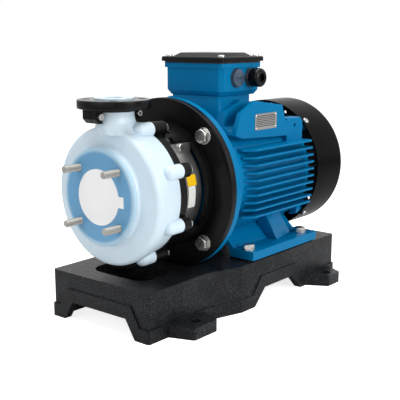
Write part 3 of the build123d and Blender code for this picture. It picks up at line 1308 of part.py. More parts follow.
def fan_cowl():
    """Fan cowl with a rounded rear edge and radial grille slots."""
    inner = COWL_R - COWL_WALL
    corners = [(COWL_FRONT_X, 0), (COWL_FRONT_X, COWL_R), (COWL_REAR_X, COWL_R), (COWL_REAR_X, 0)]
    outer_shell = turned(corners, [0, 0, COWL_ROUND, 0])
    rear_in = COWL_REAR_X - COWL_WALL
    outer_shell -= turned([(COWL_FRONT_X, 0), (COWL_FRONT_X, inner), (rear_in, inner), (rear_in, 0)],
                          [0, 0, COWL_ROUND - COWL_WALL, 0])
    slot_l = GRILLE_OUT_R - GRILLE_IN_R
    slot = extrude(SlotOverall(slot_l, GRILLE_SLOT_W), 2 * COWL_WALL)
    slot = Rot(0, 90, 0) * Pos(-(GRILLE_IN_R + slot_l / 2), 0, 0) * slot
    slot = Pos(rear_in - COWL_WALL / 2, 0, SHAFT_Z) * slot
    for i in range(GRILLE_SLOTS):
        outer_shell -= slot.rotate(SHAFT_AXIS, 360 / GRILLE_SLOTS * (i + 0.5))
    for angle in QUARTERS:
        y, z = around(COWL_R - 12, angle)
        hole = Cylinder(COWL_SCREW_D / 2 + HOLE_GAP / 2, 14, align=LOW)
        outer_shell -= Pos(COWL_SCREW_X, y, z) * Rot(angle - 90, 0, 0) * hole
    return outer_shell


def cowl_screws():
    """Screws that hold the cowl on the bosses of the rear end shield."""
    screws = []
    for angle in QUARTERS:
        y, z = around(COWL_R + 0.3, angle)
        place = Pos(COWL_SCREW_X, y, z) * Rot(angle - 90, 0, 0)
        screws.append(place * pan_screw(COWL_SCREW_D, COWL_SCREW_L))
    return group(screws)


def box_shell():
    """Outer form of the terminal box with chamfered corners and lower edge."""
    z0 = SHAFT_Z + BOX_LOW
    z1 = SHAFT_Z + BOX_TOP
    corner = BOX_CHAMFER
    plan = mirrored([
        (BOX_X0, BOX_W - corner), (BOX_X0 + corner, BOX_W), (BOX_X1 - corner, BOX_W),
        (BOX_X1, BOX_W - corner),
    ])
    shell = prism_z(plan, z0, z1)
    low_edges = shell.edges().group_by(Axis.Z)[0]
    return chamfer(low_edges, BOX_LOW_CHAMFER, BOX_LOW_CHAMFER - 1)


def terminal_box():
    """Terminal box body with cable entries on its near side."""
    z0 = SHAFT_Z + BOX_LOW
    z1 = SHAFT_Z + BOX_TOP
    body = box_shell()
    rim = slab(BOX_X0 - 2, BOX_X1 + 2, -BOX_W - 2, BOX_W + 2, z1 - 7, z1)
    body += fillet(rim.edges().filter_by(Axis.Z), 7)
    inner_w = BOX_W - BOX_WALL - 4
    inside = slab(BOX_X0 + BOX_WALL + 4, BOX_X1 - BOX_WALL - 4, -inner_w, inner_w, z0 + BOX_WALL + 2, z1)
    inside = fillet(inside.edges().filter_by(Axis.Z), 8)
    body -= inside
    body -= slab(BOX_MID_X - 22, BOX_MID_X + 18, -20, 20, z0, z0 + BOX_WALL + 2)
    for x in (PLUG_X, GLAND_X):
        hole = Cylinder(ENTRY_THREAD_R + SEAT_GAP, 20)
        body -= Pos(x, -BOX_W + 2, SHAFT_Z + ENTRY_Z) * Rot(90, 0, 0) * hole
    for x, y in lid_screw_places():
        body -= Pos(x, y, z1 - 14) * Cylinder(LID_SCREW_D / 2 + SEAT_GAP, 14, align=LOW)
    return body


def lid_screw_places():
    """Plan places of the four lid screws."""
    inset = 5.0
    places = []
    for x in (BOX_X0 + inset, BOX_X1 - inset):
        for y in (-BOX_W + inset, BOX_W - inset):
            places.append((x, y))
    return places


def terminal_gasket():
    """Gasket between the terminal box and its lid."""
    z1 = SHAFT_Z + BOX_TOP
    sheet = slab(BOX_X0, BOX_X1, -BOX_W, BOX_W, z1, z1 + GASKET_T)
    inner_w = BOX_W - BOX_WALL - 6
    sheet -= slab(BOX_X0 + BOX_WALL + 6, BOX_X1 - BOX_WALL - 6, -inner_w, inner_w, z1, z1 + GASKET_T)
    for x, y in lid_screw_places():
        sheet -= Pos(x, y, z1) * Cylinder(LID_SCREW_D / 2 + HOLE_GAP, GASKET_T, align=LOW)
    return sheet


def terminal_lid():
    """Lid with a raised middle and sloping sides."""
    x0 = BOX_X0 - LID_OVERHANG
    x1 = BOX_X1 + LID_OVERHANG
    w = BOX_W + LID_OVERHANG
    plate = slab(x0, x1, -w, w, LID_Z, LID_Z + LID_PLATE_T)
    plate = fillet(plate.edges().filter_by(Axis.Z), 6)
    plate = chamfer(plate.edges().group_by(Axis.Z)[-1], 1.5)
    top_z = LID_Z + LID_PLATE_T
    mid = (x0 + x1) / 2
    length = x1 - x0 - 2 * LID_INSET
    width = 2 * (w - LID_INSET)
    base = Pos(mid, 0, top_z) * Rectangle(length, width)
    crown = Pos(mid, 0, top_z + LID_RISE) * Rectangle(length - 3 * LID_RISE, width - 3 * LID_RISE)
    plate += loft([base, crown])
    for x, y in lid_screw_places():
        plate -= Pos(x, y, LID_Z) * Cylinder(LID_SCREW_D / 2 + HOLE_GAP, LID_PLATE_T, align=LOW)
    return plate


def lid_screws():
    """Pan head screws of the terminal box lid."""
    screws = [Pos(x, y, LID_Z + LID_PLATE_T) * pan_screw(LID_SCREW_D, LID_PLATE_T + GASKET_T + 11)
              for x, y in lid_screw_places()]
    return group(screws)


def terminal_board():
    """Insulating board with the six motor terminals."""
    z0 = SHAFT_Z + BOX_LOW + BOX_WALL + 2
    board = slab(BOX_MID_X - 34, BOX_MID_X + 34, 22, 42, z0, z0 + 9)
    return board


def terminal_studs():
    """Six terminal studs with their nuts."""
    z0 = SHAFT_Z + BOX_LOW + BOX_WALL + 2 + 9
    studs = []
    for i in range(3):
        for y in (27, 37):
            x = BOX_MID_X + 22 * (i - 1)
            stud = Cylinder(2.5, 16, align=LOW) + Pos(0, 0, 3) * hex_prism(8, 4)
            studs.append(Pos(x, y, z0) * stud)
    return group(studs)


def outward(x, y):
    """Place on the near side of the terminal box, pointing out of it."""
    return Pos(x, y, SHAFT_Z + ENTRY_Z) * Rot(90, 0, 0)


def blanking_plug():
    """Screwed plug with a slot in its head."""
    head = chamfer(Cylinder(PLUG_R, PLUG_T, align=LOW).edges().sort_by(Axis.Z)[-1], 1)
    slot = Pos(0, 0, PLUG_T) * Box(2 * PLUG_R + 1, 3, 3)
    thread = Pos(0, 0, -8) * Cylinder(ENTRY_THREAD_R, 8, align=LOW)
    return outward(PLUG_X, -BOX_W - 1.5) * ((head - slot) + thread)


def plug_seal():
    """Sealing ring below the head of the blanking plug."""
    ring = Cylinder(PLUG_R + 1, 1.5, align=LOW) - Cylinder(ENTRY_THREAD_R + SEAT_GAP, 1.5, align=LOW)
    return outward(PLUG_X, -BOX_W) * ring


def gland_body():
    """Cable gland body: thread, hexagon and sleeve."""
    body = hex_prism(GLAND_AF, GLAND_HEX_T)
    body += Pos(0, 0, -9) * Cylinder(ENTRY_THREAD_R, 9, align=LOW)
    body += Pos(0, 0, GLAND_HEX_T) * Cylinder(10.5, 9, align=LOW)
    body -= Pos(0, 0, -9) * Cylinder(GLAND_BORE_R, 30, align=LOW)
    body -= Pos(0, 0, GLAND_HEX_T - 1) * Cylinder(8.5, 12, align=LOW)
    return outward(GLAND_X, -BOX_W) * body


def gland_seal():
    """Rubber ring that grips the cable."""
    ring = Cylinder(8.5 - SEAT_GAP, 9, align=LOW) - Cylinder(CABLE_R, 9, align=LOW)
    return outward(GLAND_X, -BOX_W - GLAND_HEX_T + 1) * ring


def gland_cap():
    """Domed cap nut of the cable gland."""
    cap = Cylinder(GLAND_CAP_R, GLAND_CAP_L, align=LOW)
    cap = fillet(cap.edges().sort_by(Axis.Z)[-1], 5)
    cap -= Cylinder(10.5 + SEAT_GAP, 10, align=LOW)
    cap -= Cylinder(GLAND_BORE_R, GLAND_CAP_L, align=LOW)
    return outward(GLAND_X, -BOX_W - GLAND_HEX_T) * cap


PARTS = {
    "baseplate": baseplate,
    "pump_casing": pump_casing,
    "casing_o_ring": casing_o_ring,
    "suction_studs": suction_studs,
    "suction_cover": suction_cover,
    "suction_label": suction_label,
    "discharge_flange": discharge_flange,
    "collar_front_half": lambda: collar_half(-1),
    "collar_rear_half": lambda: collar_half(1),
    "collar_screws": collar_screws,
    "clamp_ring": clamp_ring,
    "casing_bolts": casing_bolts,
    "rear_cover": rear_cover,
    "seal_seat": seal_seat,
    "seal_face": seal_face,
    "seal_bellows": seal_bellows,
    "seal_collar": seal_collar,
    "lantern_bracket": lantern_bracket,
    "guard_far": lambda: guard_sheet(1),
    "guard_near": lambda: guard_sheet(-1),
    "guard_screws": guard_screws,
    "lantern_bolts": lantern_bolts,
    "lantern_washers": lantern_washers,
    "lantern_nuts": lantern_nuts,
    "pump_shaft": pump_shaft,
    "stub_screws": stub_screws,
    "shaft_key": shaft_key_block,
    "slinger": slinger,
    "impeller": impeller,
    "impeller_nut": impeller_nut,
    "motor_front_shield": motor_front_shield,
    "front_bearing_outer": lambda: bearing_outer(FRONT_BEARING_X),
    "front_bearing_inner": lambda: bearing_inner(FRONT_BEARING_X),
    "rear_bearing_outer": lambda: bearing_outer(REAR_BEARING_X),
    "rear_bearing_inner": lambda: bearing_inner(REAR_BEARING_X),
    "motor_shaft": motor_shaft,
    "rotor_core": rotor_core,
    "stator_core": stator_core,
    "stator_winding": stator_winding,
    "motor_frame": motor_frame,
    "foot_bolts": foot_bolts,
    "foot_washers": foot_washers,
    "nameplate": nameplate,
    "rear_end_shield": rear_end_shield,
    "fan": fan,
    "fan_ring": fan_ring,
    "fan_cowl": fan_cowl,
    "cowl_screws": cowl_screws,
    "terminal_box": terminal_box,
    "terminal_gasket": terminal_gasket,
    "terminal_lid": terminal_lid,
    "lid_screws": lid_screws,
    "terminal_board": terminal_board,
    "terminal_studs": terminal_studs,
    "blanking_plug": blanking_plug,
    "plug_seal": plug_seal,
    "gland_body": gland_body,
    "gland_seal": gland_seal,
    "gland_cap": gland_cap,
}

os.makedirs("parts", exist_ok=True)
for name, make in PARTS.items():
    export_step(make(), os.path.join("parts", name + ".step"))
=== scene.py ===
"""Chemical pump: finishes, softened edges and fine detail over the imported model."""

import json
import logging
import math
from dataclasses import dataclass
from enum import Enum
from functools import cache

import bmesh
import bpy
from mathutils import Matrix, Vector


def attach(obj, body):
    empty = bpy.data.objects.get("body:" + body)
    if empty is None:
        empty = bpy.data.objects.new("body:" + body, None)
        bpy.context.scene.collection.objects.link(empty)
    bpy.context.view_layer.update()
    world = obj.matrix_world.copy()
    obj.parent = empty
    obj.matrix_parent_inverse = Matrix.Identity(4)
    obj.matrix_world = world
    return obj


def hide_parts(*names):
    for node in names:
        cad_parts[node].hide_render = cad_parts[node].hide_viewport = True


logging.basicConfig(level=logging.INFO, format="%(message)s")
LOG = logging.getLogger("pump")

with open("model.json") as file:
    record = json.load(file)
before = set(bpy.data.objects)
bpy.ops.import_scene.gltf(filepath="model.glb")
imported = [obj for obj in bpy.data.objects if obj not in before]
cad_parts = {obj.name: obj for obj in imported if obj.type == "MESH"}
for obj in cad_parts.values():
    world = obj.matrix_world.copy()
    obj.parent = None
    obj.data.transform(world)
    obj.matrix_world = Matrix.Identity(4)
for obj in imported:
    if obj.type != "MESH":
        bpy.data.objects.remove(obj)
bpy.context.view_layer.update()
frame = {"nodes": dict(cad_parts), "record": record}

Colour = tuple[float, float, float]
Point = tuple[float, float, float]
Span = tuple[float, float]

MM = 0.001
SHAFT_Z = 0.184
SMOOTH_ANGLE = math.radians(32)
FLAT_ANGLE = math.radians(0.4)
NODE_WELD = 2e-6
PROFILE_WELD = 1e-6


def srgb(red: int, green: int, blue: int) -> Colour:
    """Turn a screen colour into the linear colour that the shader takes.

    Args:
        red: Red level from 0 to 255.
        green: Green level from 0 to 255.
        blue: Blue level from 0 to 255.

    Returns:
        The three linear levels.
    """
    levels = []
    for value in (red, green, blue):
        share = value / 255
        levels.append(share / 12.92 if share <= 0.04045 else ((share + 0.055) / 1.055) ** 2.4)
    return (levels[0], levels[1], levels[2])


class Grain(Enum):
    """Fine relief of a surface."""

    NONE = "none"
    PEEL = "peel"
    HAMMER = "hammer"
    BRUSHED_UP = "brushed_up"
    BRUSHED_ALONG = "brushed_along"
    LAMINATED = "laminated"


EVEN_GRAIN = (1, 1, 1)
STRETCHED_GRAIN = {
    Grain.BRUSHED_UP: (1, 1, 0.04),
    Grain.BRUSHED_ALONG: (0.04, 1, 1),
    Grain.LAMINATED: (1, 0, 0),
}


class Tree:
    """Short way to fill a node tree."""

    def __init__(self, tree: bpy.types.NodeTree) -> None:
        """Keep the tree and empty it."""
        self.tree = tree
        self.tree.nodes.clear()

    def add(self, kind: str, values: dict[str | int, object] | None = None,
            **settings: object) -> bpy.types.Node:
        """Add a node.

        Args:
            kind: Type name of the node.
            values: Values of its inputs, by input name or number.
            **settings: Properties of the node.

        Returns:
            The new node.
        """
        node = self.tree.nodes.new(kind)
        for key, value in settings.items():
            setattr(node, key, value)
        for key, value in (values or {}).items():
            node.inputs[key].default_value = value
        return node

    def join(self, source: bpy.types.Node, out: str, target: bpy.types.Node,
             into: str | int) -> None:
        """Link one node's output to another node's input.

        Args:
            source: Node that gives the value.
            out: Name of its output.
            target: Node that takes the value.
            into: Name or number of its input.
        """
        self.tree.links.new(source.outputs[out], target.inputs[into])


class Effect(Tree):
    """Node group with float sockets, shared by the materials."""

    def __init__(self, name: str, inputs: dict[str, float], output: str) -> None:
        """Start the group.

        Args:
            name: Name of the group.
            inputs: Names and default values of its inputs.
            output: Name of its output.
        """
        self.group = bpy.data.node_groups.new(name, "ShaderNodeTree")
        super().__init__(self.group)
        for key, value in inputs.items():
            socket = self.group.interface.new_socket(
                name=key, in_out="INPUT", socket_type="NodeSocketFloat")
            socket.default_value = value
        self.group.interface.new_socket(
            name=output, in_out="OUTPUT", socket_type="NodeSocketFloat")
        self.start = self.add("NodeGroupInput")
        self.end = self.add("NodeGroupOutput")
        self.coords = self.add("ShaderNodeTexCoord")


@cache
def relief_group(grain: Grain) -> bpy.types.NodeTree:
    """Build the node group that puts out the height of one kind of fine relief.

    Args:
        grain: Kind of relief.

    Returns:
        Group with a Scale input and a Height output.
    """
    effect = Effect("relief_" + grain.value, {"Scale": 400.0}, "Height")
    mapping = effect.add("ShaderNodeMapping", {"Scale": STRETCHED_GRAIN.get(grain, EVEN_GRAIN)})
    effect.join(effect.coords, "Object", mapping, "Vector")
    if grain is Grain.LAMINATED:
        wave = effect.add("ShaderNodeTexWave", {"Distortion": 0.0},
                          wave_type="BANDS", bands_direction="X")
        effect.join(mapping, "Vector", wave, "Vector")
        effect.join(effect.start, "Scale", wave, "Scale")
        effect.join(wave, "Fac", effect.end, "Height")
        return effect.group
    noise = effect.add("ShaderNodeTexNoise", {"Detail": 3.0, "Roughness": 0.55})
    effect.join(mapping, "Vector", noise, "Vector")
    effect.join(effect.start, "Scale", noise, "Scale")
    if grain is not Grain.HAMMER:
        effect.join(noise, "Fac", effect.end, "Height")
        return effect.group
    cells = effect.add("ShaderNodeTexVoronoi", {"Randomness": 1.0}, feature="SMOOTH_F1")
    blend = effect.add("ShaderNodeMath", operation="MULTIPLY")
    effect.join(mapping, "Vector", cells, "Vector")
    effect.join(effect.start, "Scale", cells, "Scale")
    effect.join(cells, "Distance", blend, 0)
    effect.join(noise, "Fac", blend, 1)
    effect.join(blend, "Value", effect.end, "Height")
    return effect.group


@cache
def mottle_group() -> bpy.types.NodeTree:
    """Build the group that puts out a slow variation of brightness round one."""
    effect = Effect("slow_mottle", {"Scale": 14.0, "Amount": 0.1}, "Factor")
    noise = effect.add("ShaderNodeTexNoise", {"Detail": 4.0, "Roughness": 0.6})
    centre = effect.add("ShaderNodeMath", {1: 0.5}, operation="SUBTRACT")
    swing = effect.add("ShaderNodeMath", operation="MULTIPLY")
    lift = effect.add("ShaderNodeMath", {1: 1.0}, operation="ADD")
    effect.join(effect.coords, "Object", noise, "Vector")
    effect.join(effect.start, "Scale", noise, "Scale")
    effect.join(noise, "Fac", centre, 0)
    effect.join(centre, "Value", swing, 0)
    effect.join(effect.start, "Amount", swing, 1)
    effect.join(swing, "Value", lift, 0)
    effect.join(lift, "Value", effect.end, "Factor")
    return effect.group


@cache
def fleck_group() -> bpy.types.NodeTree:
    """Build the group that puts out a mask of fine bright flecks, gathered in patches."""
    effect = Effect("paint_flecks", {"Scale": 520.0, "Patch Scale": 26.0}, "Mask")
    noise = effect.add("ShaderNodeTexNoise", {"Detail": 2.0, "Roughness": 0.7})
    level = effect.add("ShaderNodeMapRange", {
        "From Min": 0.5, "From Max": 0.72, "To Min": 0.0, "To Max": 0.8})
    patch = effect.add("ShaderNodeTexNoise", {"Detail": 2.0, "Roughness": 0.5})
    share = effect.add("ShaderNodeMapRange", {
        "From Min": 0.38, "From Max": 0.62, "To Min": 0.35, "To Max": 1.0})
    both = effect.add("ShaderNodeMath", operation="MULTIPLY")
    effect.join(effect.coords, "Object", noise, "Vector")
    effect.join(effect.coords, "Object", patch, "Vector")
    effect.join(effect.start, "Scale", noise, "Scale")
    effect.join(effect.start, "Patch Scale", patch, "Scale")
    effect.join(noise, "Fac", level, "Value")
    effect.join(patch, "Fac", share, "Value")
    effect.join(level, "Result", both, 0)
    effect.join(share, "Result", both, 1)
    effect.join(both, "Value", effect.end, "Mask")
    return effect.group


@cache
def rim_highlight_group() -> bpy.types.NodeTree:
    """Build the group that puts out a mask rising with the distance from the shaft, which places
    a painted highlight.
    """
    effect = Effect("shaft_rim_highlight", {"Inner": 0.06, "Outer": 0.064}, "Mask")
    across = effect.add("ShaderNodeMapping", {
        "Location": (0.0, 0.0, -SHAFT_Z), "Scale": (0.0, 1.0, 1.0)})
    radius = effect.add("ShaderNodeVectorMath", operation="LENGTH")
    level = effect.add("ShaderNodeMapRange", interpolation_type="SMOOTHSTEP")
    effect.join(effect.coords, "Object", across, "Vector")
    effect.join(across, "Vector", radius, 0)
    effect.join(radius, "Value", level, "Value")
    effect.join(effect.start, "Inner", level, "From Min")
    effect.join(effect.start, "Outer", level, "From Max")
    effect.join(level, "Result", effect.end, "Mask")
    return effect.group


@dataclass(frozen=True)
class Finish:
    """Finish of a surface.

    Attributes:
        name: Name of the material.
        colour: Linear base colour.
        roughness: Roughness of the surface.
        metallic: One for bare metal.
        specular: Strength of the plain reflection.
        grain: Kind of fine relief.
        grain_scale: Relief features per metre.
        grain_depth: Depth of the relief in metres.
        mottle: Share by which brightness and roughness vary slowly.
        subsurface: Weight of light scattered below the surface.
        fleck: Colour of fine bright flecks in the paint, or None.
        rim_highlight: Colour of a painted highlight far from the shaft, which stands in for light
            on the cover's rounded edge, or None.
        rim_highlight_span: Radii between which the painted highlight comes in.
    """

    name: str
    colour: Colour
    roughness: float
    metallic: float = 0.0
    specular: float = 0.5
    grain: Grain = Grain.NONE
    grain_scale: float = 400.0
    grain_depth: float = 0.0002
    mottle: float = 0.08
    subsurface: float = 0.0
    fleck: Colour | None = None
    rim_highlight: Colour | None = None
    rim_highlight_span: Span = (0.0585, 0.0645)

    def material(self) -> bpy.types.Material:
        """Return the material, made on first use."""
        if self.name in bpy.data.materials:
            return bpy.data.materials[self.name]
        material = bpy.data.materials.new(self.name)
        material.use_nodes = True
        tree = Tree(material.node_tree)
        out = tree.add("ShaderNodeOutputMaterial")
        shader = tree.add("ShaderNodeBsdfPrincipled", {
            "Base Color": (*self.colour, 1.0), "Roughness": self.roughness,
            "Metallic": self.metallic, "Specular IOR Level": self.specular,
            "Subsurface Weight": self.subsurface, "Subsurface Radius": (0.9, 1.0, 1.1),
            "Subsurface Scale": 0.006,
        })
        tree.join(shader, "BSDF", out, "Surface")
        if self.mottle > 0:
            self._vary(tree, shader)
        if self.grain is not Grain.NONE:
            self._roughen(tree, shader)
        return material

    def _vary(self, tree: Tree, shader: bpy.types.Node) -> None:
        """Vary brightness and roughness slowly, and add flecks and the painted highlight far from
        the shaft.

        Args:
            tree: Node tree of the material.
            shader: Its shader.
        """
        slow = tree.add("ShaderNodeGroup", node_tree=mottle_group())
        slow.inputs["Amount"].default_value = self.mottle
        tint = tree.add("ShaderNodeVectorMath", operation="SCALE")
        tint.inputs[0].default_value = self.colour
        rough = tree.add("ShaderNodeMath", {0: self.roughness}, operation="MULTIPLY")
        tree.join(slow, "Factor", tint, "Scale")
        tree.join(slow, "Factor", rough, 1)
        tree.join(rough, "Value", shader, "Roughness")
        paint = tint.outputs["Vector"]
        if self.fleck is not None:
            flecks = tree.add("ShaderNodeGroup", node_tree=fleck_group())
            paint = self._blend(tree, paint, flecks, self.fleck)
        # Painted highlight: a lighter colour far from the shaft, standing in for light on a
        # rounded edge.
        if self.rim_highlight is not None:
            rim_highlight = tree.add("ShaderNodeGroup", node_tree=rim_highlight_group())
            rim_highlight.inputs["Inner"].default_value, rim_highlight.inputs["Outer"].default_value = self.rim_highlight_span
            paint = self._blend(tree, paint, rim_highlight, self.rim_highlight)
        tree.tree.links.new(paint, shader.inputs["Base Color"])

    def _blend(self, tree: Tree, paint: bpy.types.NodeSocket, mask: bpy.types.Node,
               colour: Colour) -> bpy.types.NodeSocket:
        """Mix a colour into the paint by a mask.

        Args:
            tree: Node tree of the material.
            paint: Socket with the paint so far.
            mask: Group node with the mask.
            colour: Colour that comes in where the mask is one.

        Returns:
            Socket with the mixed paint.
        """
        blend = tree.add("ShaderNodeMix", data_type="RGBA")
        factor, paint_in, colour_in, mixed_out = 0, 6, 7, 2
        blend.inputs[colour_in].default_value = (*colour, 1.0)
        tree.join(mask, "Mask", blend, factor)
        tree.tree.links.new(paint, blend.inputs[paint_in])
        return blend.outputs[mixed_out]

    def _roughen(self, tree: Tree, shader: bpy.types.Node) -> None:
        """Add the fine relief.

        Args:
            tree: Node tree of the material.
            shader: Its shader.
        """
        relief = tree.add("ShaderNodeGroup", node_tree=relief_group(self.grain))
        relief.inputs["Scale"].default_value = self.grain_scale
        bump = tree.add("ShaderNodeBump", {"Strength": 1.0, "Distance": self.grain_depth})
        tree.join(relief, "Height", bump, "Height")
        tree.join(bump, "Normal", shader, "Normal")


HAMMER_BLACK = Finish("hammered_black", srgb(11, 12, 14), 0.3, specular=0.17,
                      grain=Grain.HAMMER, grain_scale=420, grain_depth=0.001, mottle=0.2,
                      fleck=srgb(84, 88, 94))
SATIN_BLACK = Finish("satin_black", srgb(12, 12, 13), 0.3, specular=0.14,
                     grain=Grain.PEEL, grain_scale=260, grain_depth=0.00012)
GLOSS_BLACK = Finish("gloss_black", srgb(9, 9, 10), 0.2, specular=0.2,
                     grain=Grain.PEEL, grain_scale=120, grain_depth=0.00006)
COWL_BLACK = Finish("cowl_black", srgb(8, 8, 9), 0.24, specular=0.025,
                    grain=Grain.PEEL, grain_scale=140, grain_depth=0.00008)
MILKY_PLASTIC = Finish("milky_plastic", srgb(212, 230, 242), 0.24,
                       grain=Grain.PEEL, grain_scale=60, grain_depth=0.0003, mottle=0.1,
                       subsurface=0.15)
# The lighter outer ring of the blue cover is a painted highlight, standing in for light on its
# rounded edge.
BLUE_SHEET = Finish("blue_sheet", srgb(104, 162, 203), 0.3, specular=0.35, mottle=0.2,
                    rim_highlight=srgb(176, 208, 228))
LABEL_FILM = Finish("label_film", srgb(252, 252, 252), 0.3, mottle=0.0)
MOTOR_ENAMEL = Finish("motor_enamel", srgb(0, 115, 166), 0.28, specular=0.07,
                      grain=Grain.PEEL, grain_scale=300, grain_depth=0.00018)
TURNED_STEEL = Finish("turned_steel", srgb(176, 174, 168), 0.3, metallic=1.0,
                      grain=Grain.BRUSHED_ALONG, grain_scale=1500, grain_depth=0.00003)
ZINC = Finish("zinc_plate", srgb(198, 198, 194), 0.26, metallic=1.0, mottle=0.15)
BRUSHED_SHEET = Finish("brushed_sheet", srgb(192, 192, 190), 0.3, metallic=1.0,
                       grain=Grain.BRUSHED_UP, grain_scale=1200, grain_depth=0.00004)
RUBBER = Finish("black_rubber", srgb(24, 24, 24), 0.75, specular=0.3)
BLACK_PLASTIC = Finish("black_plastic", srgb(20, 20, 22), 0.38, specular=0.45,
                       grain=Grain.PEEL, grain_scale=350, grain_depth=0.0001)
GREY_PLASTIC = Finish("grey_plastic", srgb(62, 80, 100), 0.2, mottle=0.1)
CERAMIC = Finish("seal_ceramic", srgb(228, 222, 208), 0.15, mottle=0.02)
CARBON = Finish("seal_carbon", srgb(40, 40, 42), 0.35)
LAMINATIONS = Finish("laminations", srgb(120, 120, 122), 0.45, metallic=0.9,
                     grain=Grain.LAMINATED, grain_scale=120)
COPPER = Finish("winding_copper", srgb(150, 84, 40), 0.35, metallic=0.6,
                grain=Grain.BRUSHED_UP, grain_scale=500)
TAG_YELLOW = Finish("tag_yellow", srgb(240, 190, 12), 0.35, mottle=0.03)
TAG_WHITE = Finish("tag_white", srgb(226, 226, 222), 0.35, mottle=0.03)


def body_of_node(node: str) -> str:
    """Return the body that a node of the model belongs to."""
    for body, nodes in frame["record"]["behaviour"]["bodies"].items():
        if node in nodes:
            return body
    raise KeyError(node)


def stand_in_scene(name: str, shape: bmesh.types.BMesh, finish: Finish, node: str,
                   angle: float = SMOOTH_ANGLE) -> bpy.types.Object:
    """Turn a bmesh into an object that rides with a node, shaded smooth.

    Args:
        name: Name of the piece.
        shape: The bmesh, which is freed.
        finish: Finish of the piece.
        node: Node of the model whose body it shares.
        angle: Angle from which an edge stays sharp.

    Returns:
        The new object.
    """
    mesh = bpy.data.meshes.new(name)
    shape.to_mesh(mesh)
    shape.free()
    mesh.shade_smooth()
    mesh.set_sharp_from_angle(angle=angle)
    mesh.materials.append(finish.material())
    piece = bpy.data.objects.new(name, mesh)
    bpy.context.scene.collection.objects.link(piece)
    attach(piece, body_of_node(node))
    return piece


def new_piece(name: str, shape: bmesh.types.BMesh, finish: Finish,
              node: str) -> bpy.types.Object:
    """Turn a bmesh into a piece of the scene, with its faces pointing outwards.

    Args:
        name: Name of the piece.
        shape: The bmesh, which is freed.
        finish: Finish of the piece.
        node: Node of the model whose body it shares.

    Returns:
        The new object.
    """
    bmesh.ops.recalc_face_normals(shape, faces=shape.faces[:])
    return stand_in_scene(name, shape, finish, node)


def softened(node: str, finish: Finish, edge: float, segments: int = 2,
             angle: float = SMOOTH_ANGLE) -> bpy.types.Object:
    """Stand a copy of a node with rounded edges in for the node.

    Args:
        node: Name of the node.
        finish: Finish of the copy.
        edge: Radius of its edges in metres.
        segments: Faces across each rounded edge.
        angle: Angle from which an edge counts as hard.

    Returns:
        The copy.
    """
    shape = bmesh.new()
    shape.from_mesh(frame["nodes"][node].data)
    bmesh.ops.remove_doubles(shape, verts=shape.verts[:], dist=NODE_WELD)
    bmesh.ops.dissolve_limit(shape, angle_limit=FLAT_ANGLE, verts=shape.verts[:],
                             edges=shape.edges[:])
    piece = stand_in_scene(node + "_dressed", shape, finish, node, angle)
    bevel = piece.modifiers.new("edges", "BEVEL")
    bevel.width = edge
    bevel.segments = segments
    bevel.limit_method = "ANGLE"
    bevel.angle_limit = angle
    bevel.use_clamp_overlap = True
    bevel.harden_normals = True
    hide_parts(node)
    return piece


def paint_nodes(finishes: dict[str, Finish]) -> None:
    """Give nodes of the model their finishes.

    Args:
        finishes: Finish of each node, by the node's name.
    """
    for node, finish in finishes.items():
        mesh = frame["nodes"][node].data
        mesh.materials.clear()
        mesh.materials.append(finish.material())


def turned(profile: list[tuple[float, float]], steps: int) -> bmesh.types.BMesh:
    """Spin a profile about the Z axis.

    Args:
        profile: Corners as (radius, height), from axis to axis for a closed form.
        steps: Faces around.

    Returns:
        The bmesh.
    """
    shape = bmesh.new()
    verts = [shape.verts.new((radius, 0.0, height)) for radius, height in profile]
    edges = [shape.edges.new((a, b)) for a, b in zip(verts, verts[1:])]
    bmesh.ops.spin(shape, geom=verts + edges, cent=(0, 0, 0), axis=(0, 0, 1), dvec=(0, 0, 0),
                   angle=2 * math.pi, steps=steps, use_merge=True, use_duplicate=False)
    bmesh.ops.remove_doubles(shape, verts=shape.verts[:], dist=PROFILE_WELD)
    return shape


def moved(shape: bmesh.types.BMesh, matrix: Matrix) -> bmesh.types.BMesh:
    """Move a bmesh by a matrix and return it."""
    bmesh.ops.transform(shape, matrix=matrix, verts=shape.verts[:])
    return shape


def merged(shapes: list[bmesh.types.BMesh]) -> bmesh.types.BMesh:
    """Join several bmeshes into one."""
    whole = bmesh.new()
    for shape in shapes:
        carrier = bpy.data.meshes.new("carrier")
        shape.to_mesh(carrier)
        shape.free()
        whole.from_mesh(carrier)
        bpy.data.meshes.remove(carrier)
    return whole


def block(low: Point, high: Point) -> bmesh.types.BMesh:
    """Make a block between its lowest and its highest corner."""
    shape = bmesh.new()
    bmesh.ops.create_cube(shape, size=1.0)
    size = Vector(high) - Vector(low)
    middle = (Vector(high) + Vector(low)) / 2
    return moved(shape, Matrix.Translation(middle) @ Matrix.Diagonal((*size, 1.0)))


def towards(point: Point, direction: Point) -> Matrix:
    """Return the matrix that carries the Z axis to a direction and the origin to a point."""
    turn = Vector(direction).to_track_quat("Z", "Y").to_matrix().to_4x4()
    return Matrix.Translation(point) @ turn


@dataclass
class Baseplate:
    """Cast baseplate with its hammered paint.

    Attributes:
        edge: Radius of the cast edges in metres.
        edge_segments: Faces across each of them.
        hard_angle: Angle from which an edge of the casting counts as hard.
        shade_plate_low: Lowest corner of the dark plate that closes the flange groove from below,
            put there to stand in for the shade under the base.
        shade_plate_high: Its highest corner.
    """

    edge: float = 1.2 * MM
    edge_segments: int = 3
    hard_angle: float = math.radians(12)
    shade_plate_low: Point = (53 * MM, -58 * MM, 54.2 * MM)
    shade_plate_high: Point = (102 * MM, 58 * MM, 57 * MM)

    def build(self) -> None:
        """Dress the casting and close its flange groove from below with a thin dark plate, which
        stands in for the shade under the base.
        """
        softened("baseplate", HAMMER_BLACK, self.edge, self.edge_segments, self.hard_angle)
        # A dark plate under the groove stands in for the shade beneath the base, where the
        # glowing floor would otherwise show.
        plate = block(self.shade_plate_low, self.shade_plate_high)
        new_piece("groove_shade_plate", plate, HAMMER_BLACK, "baseplate")


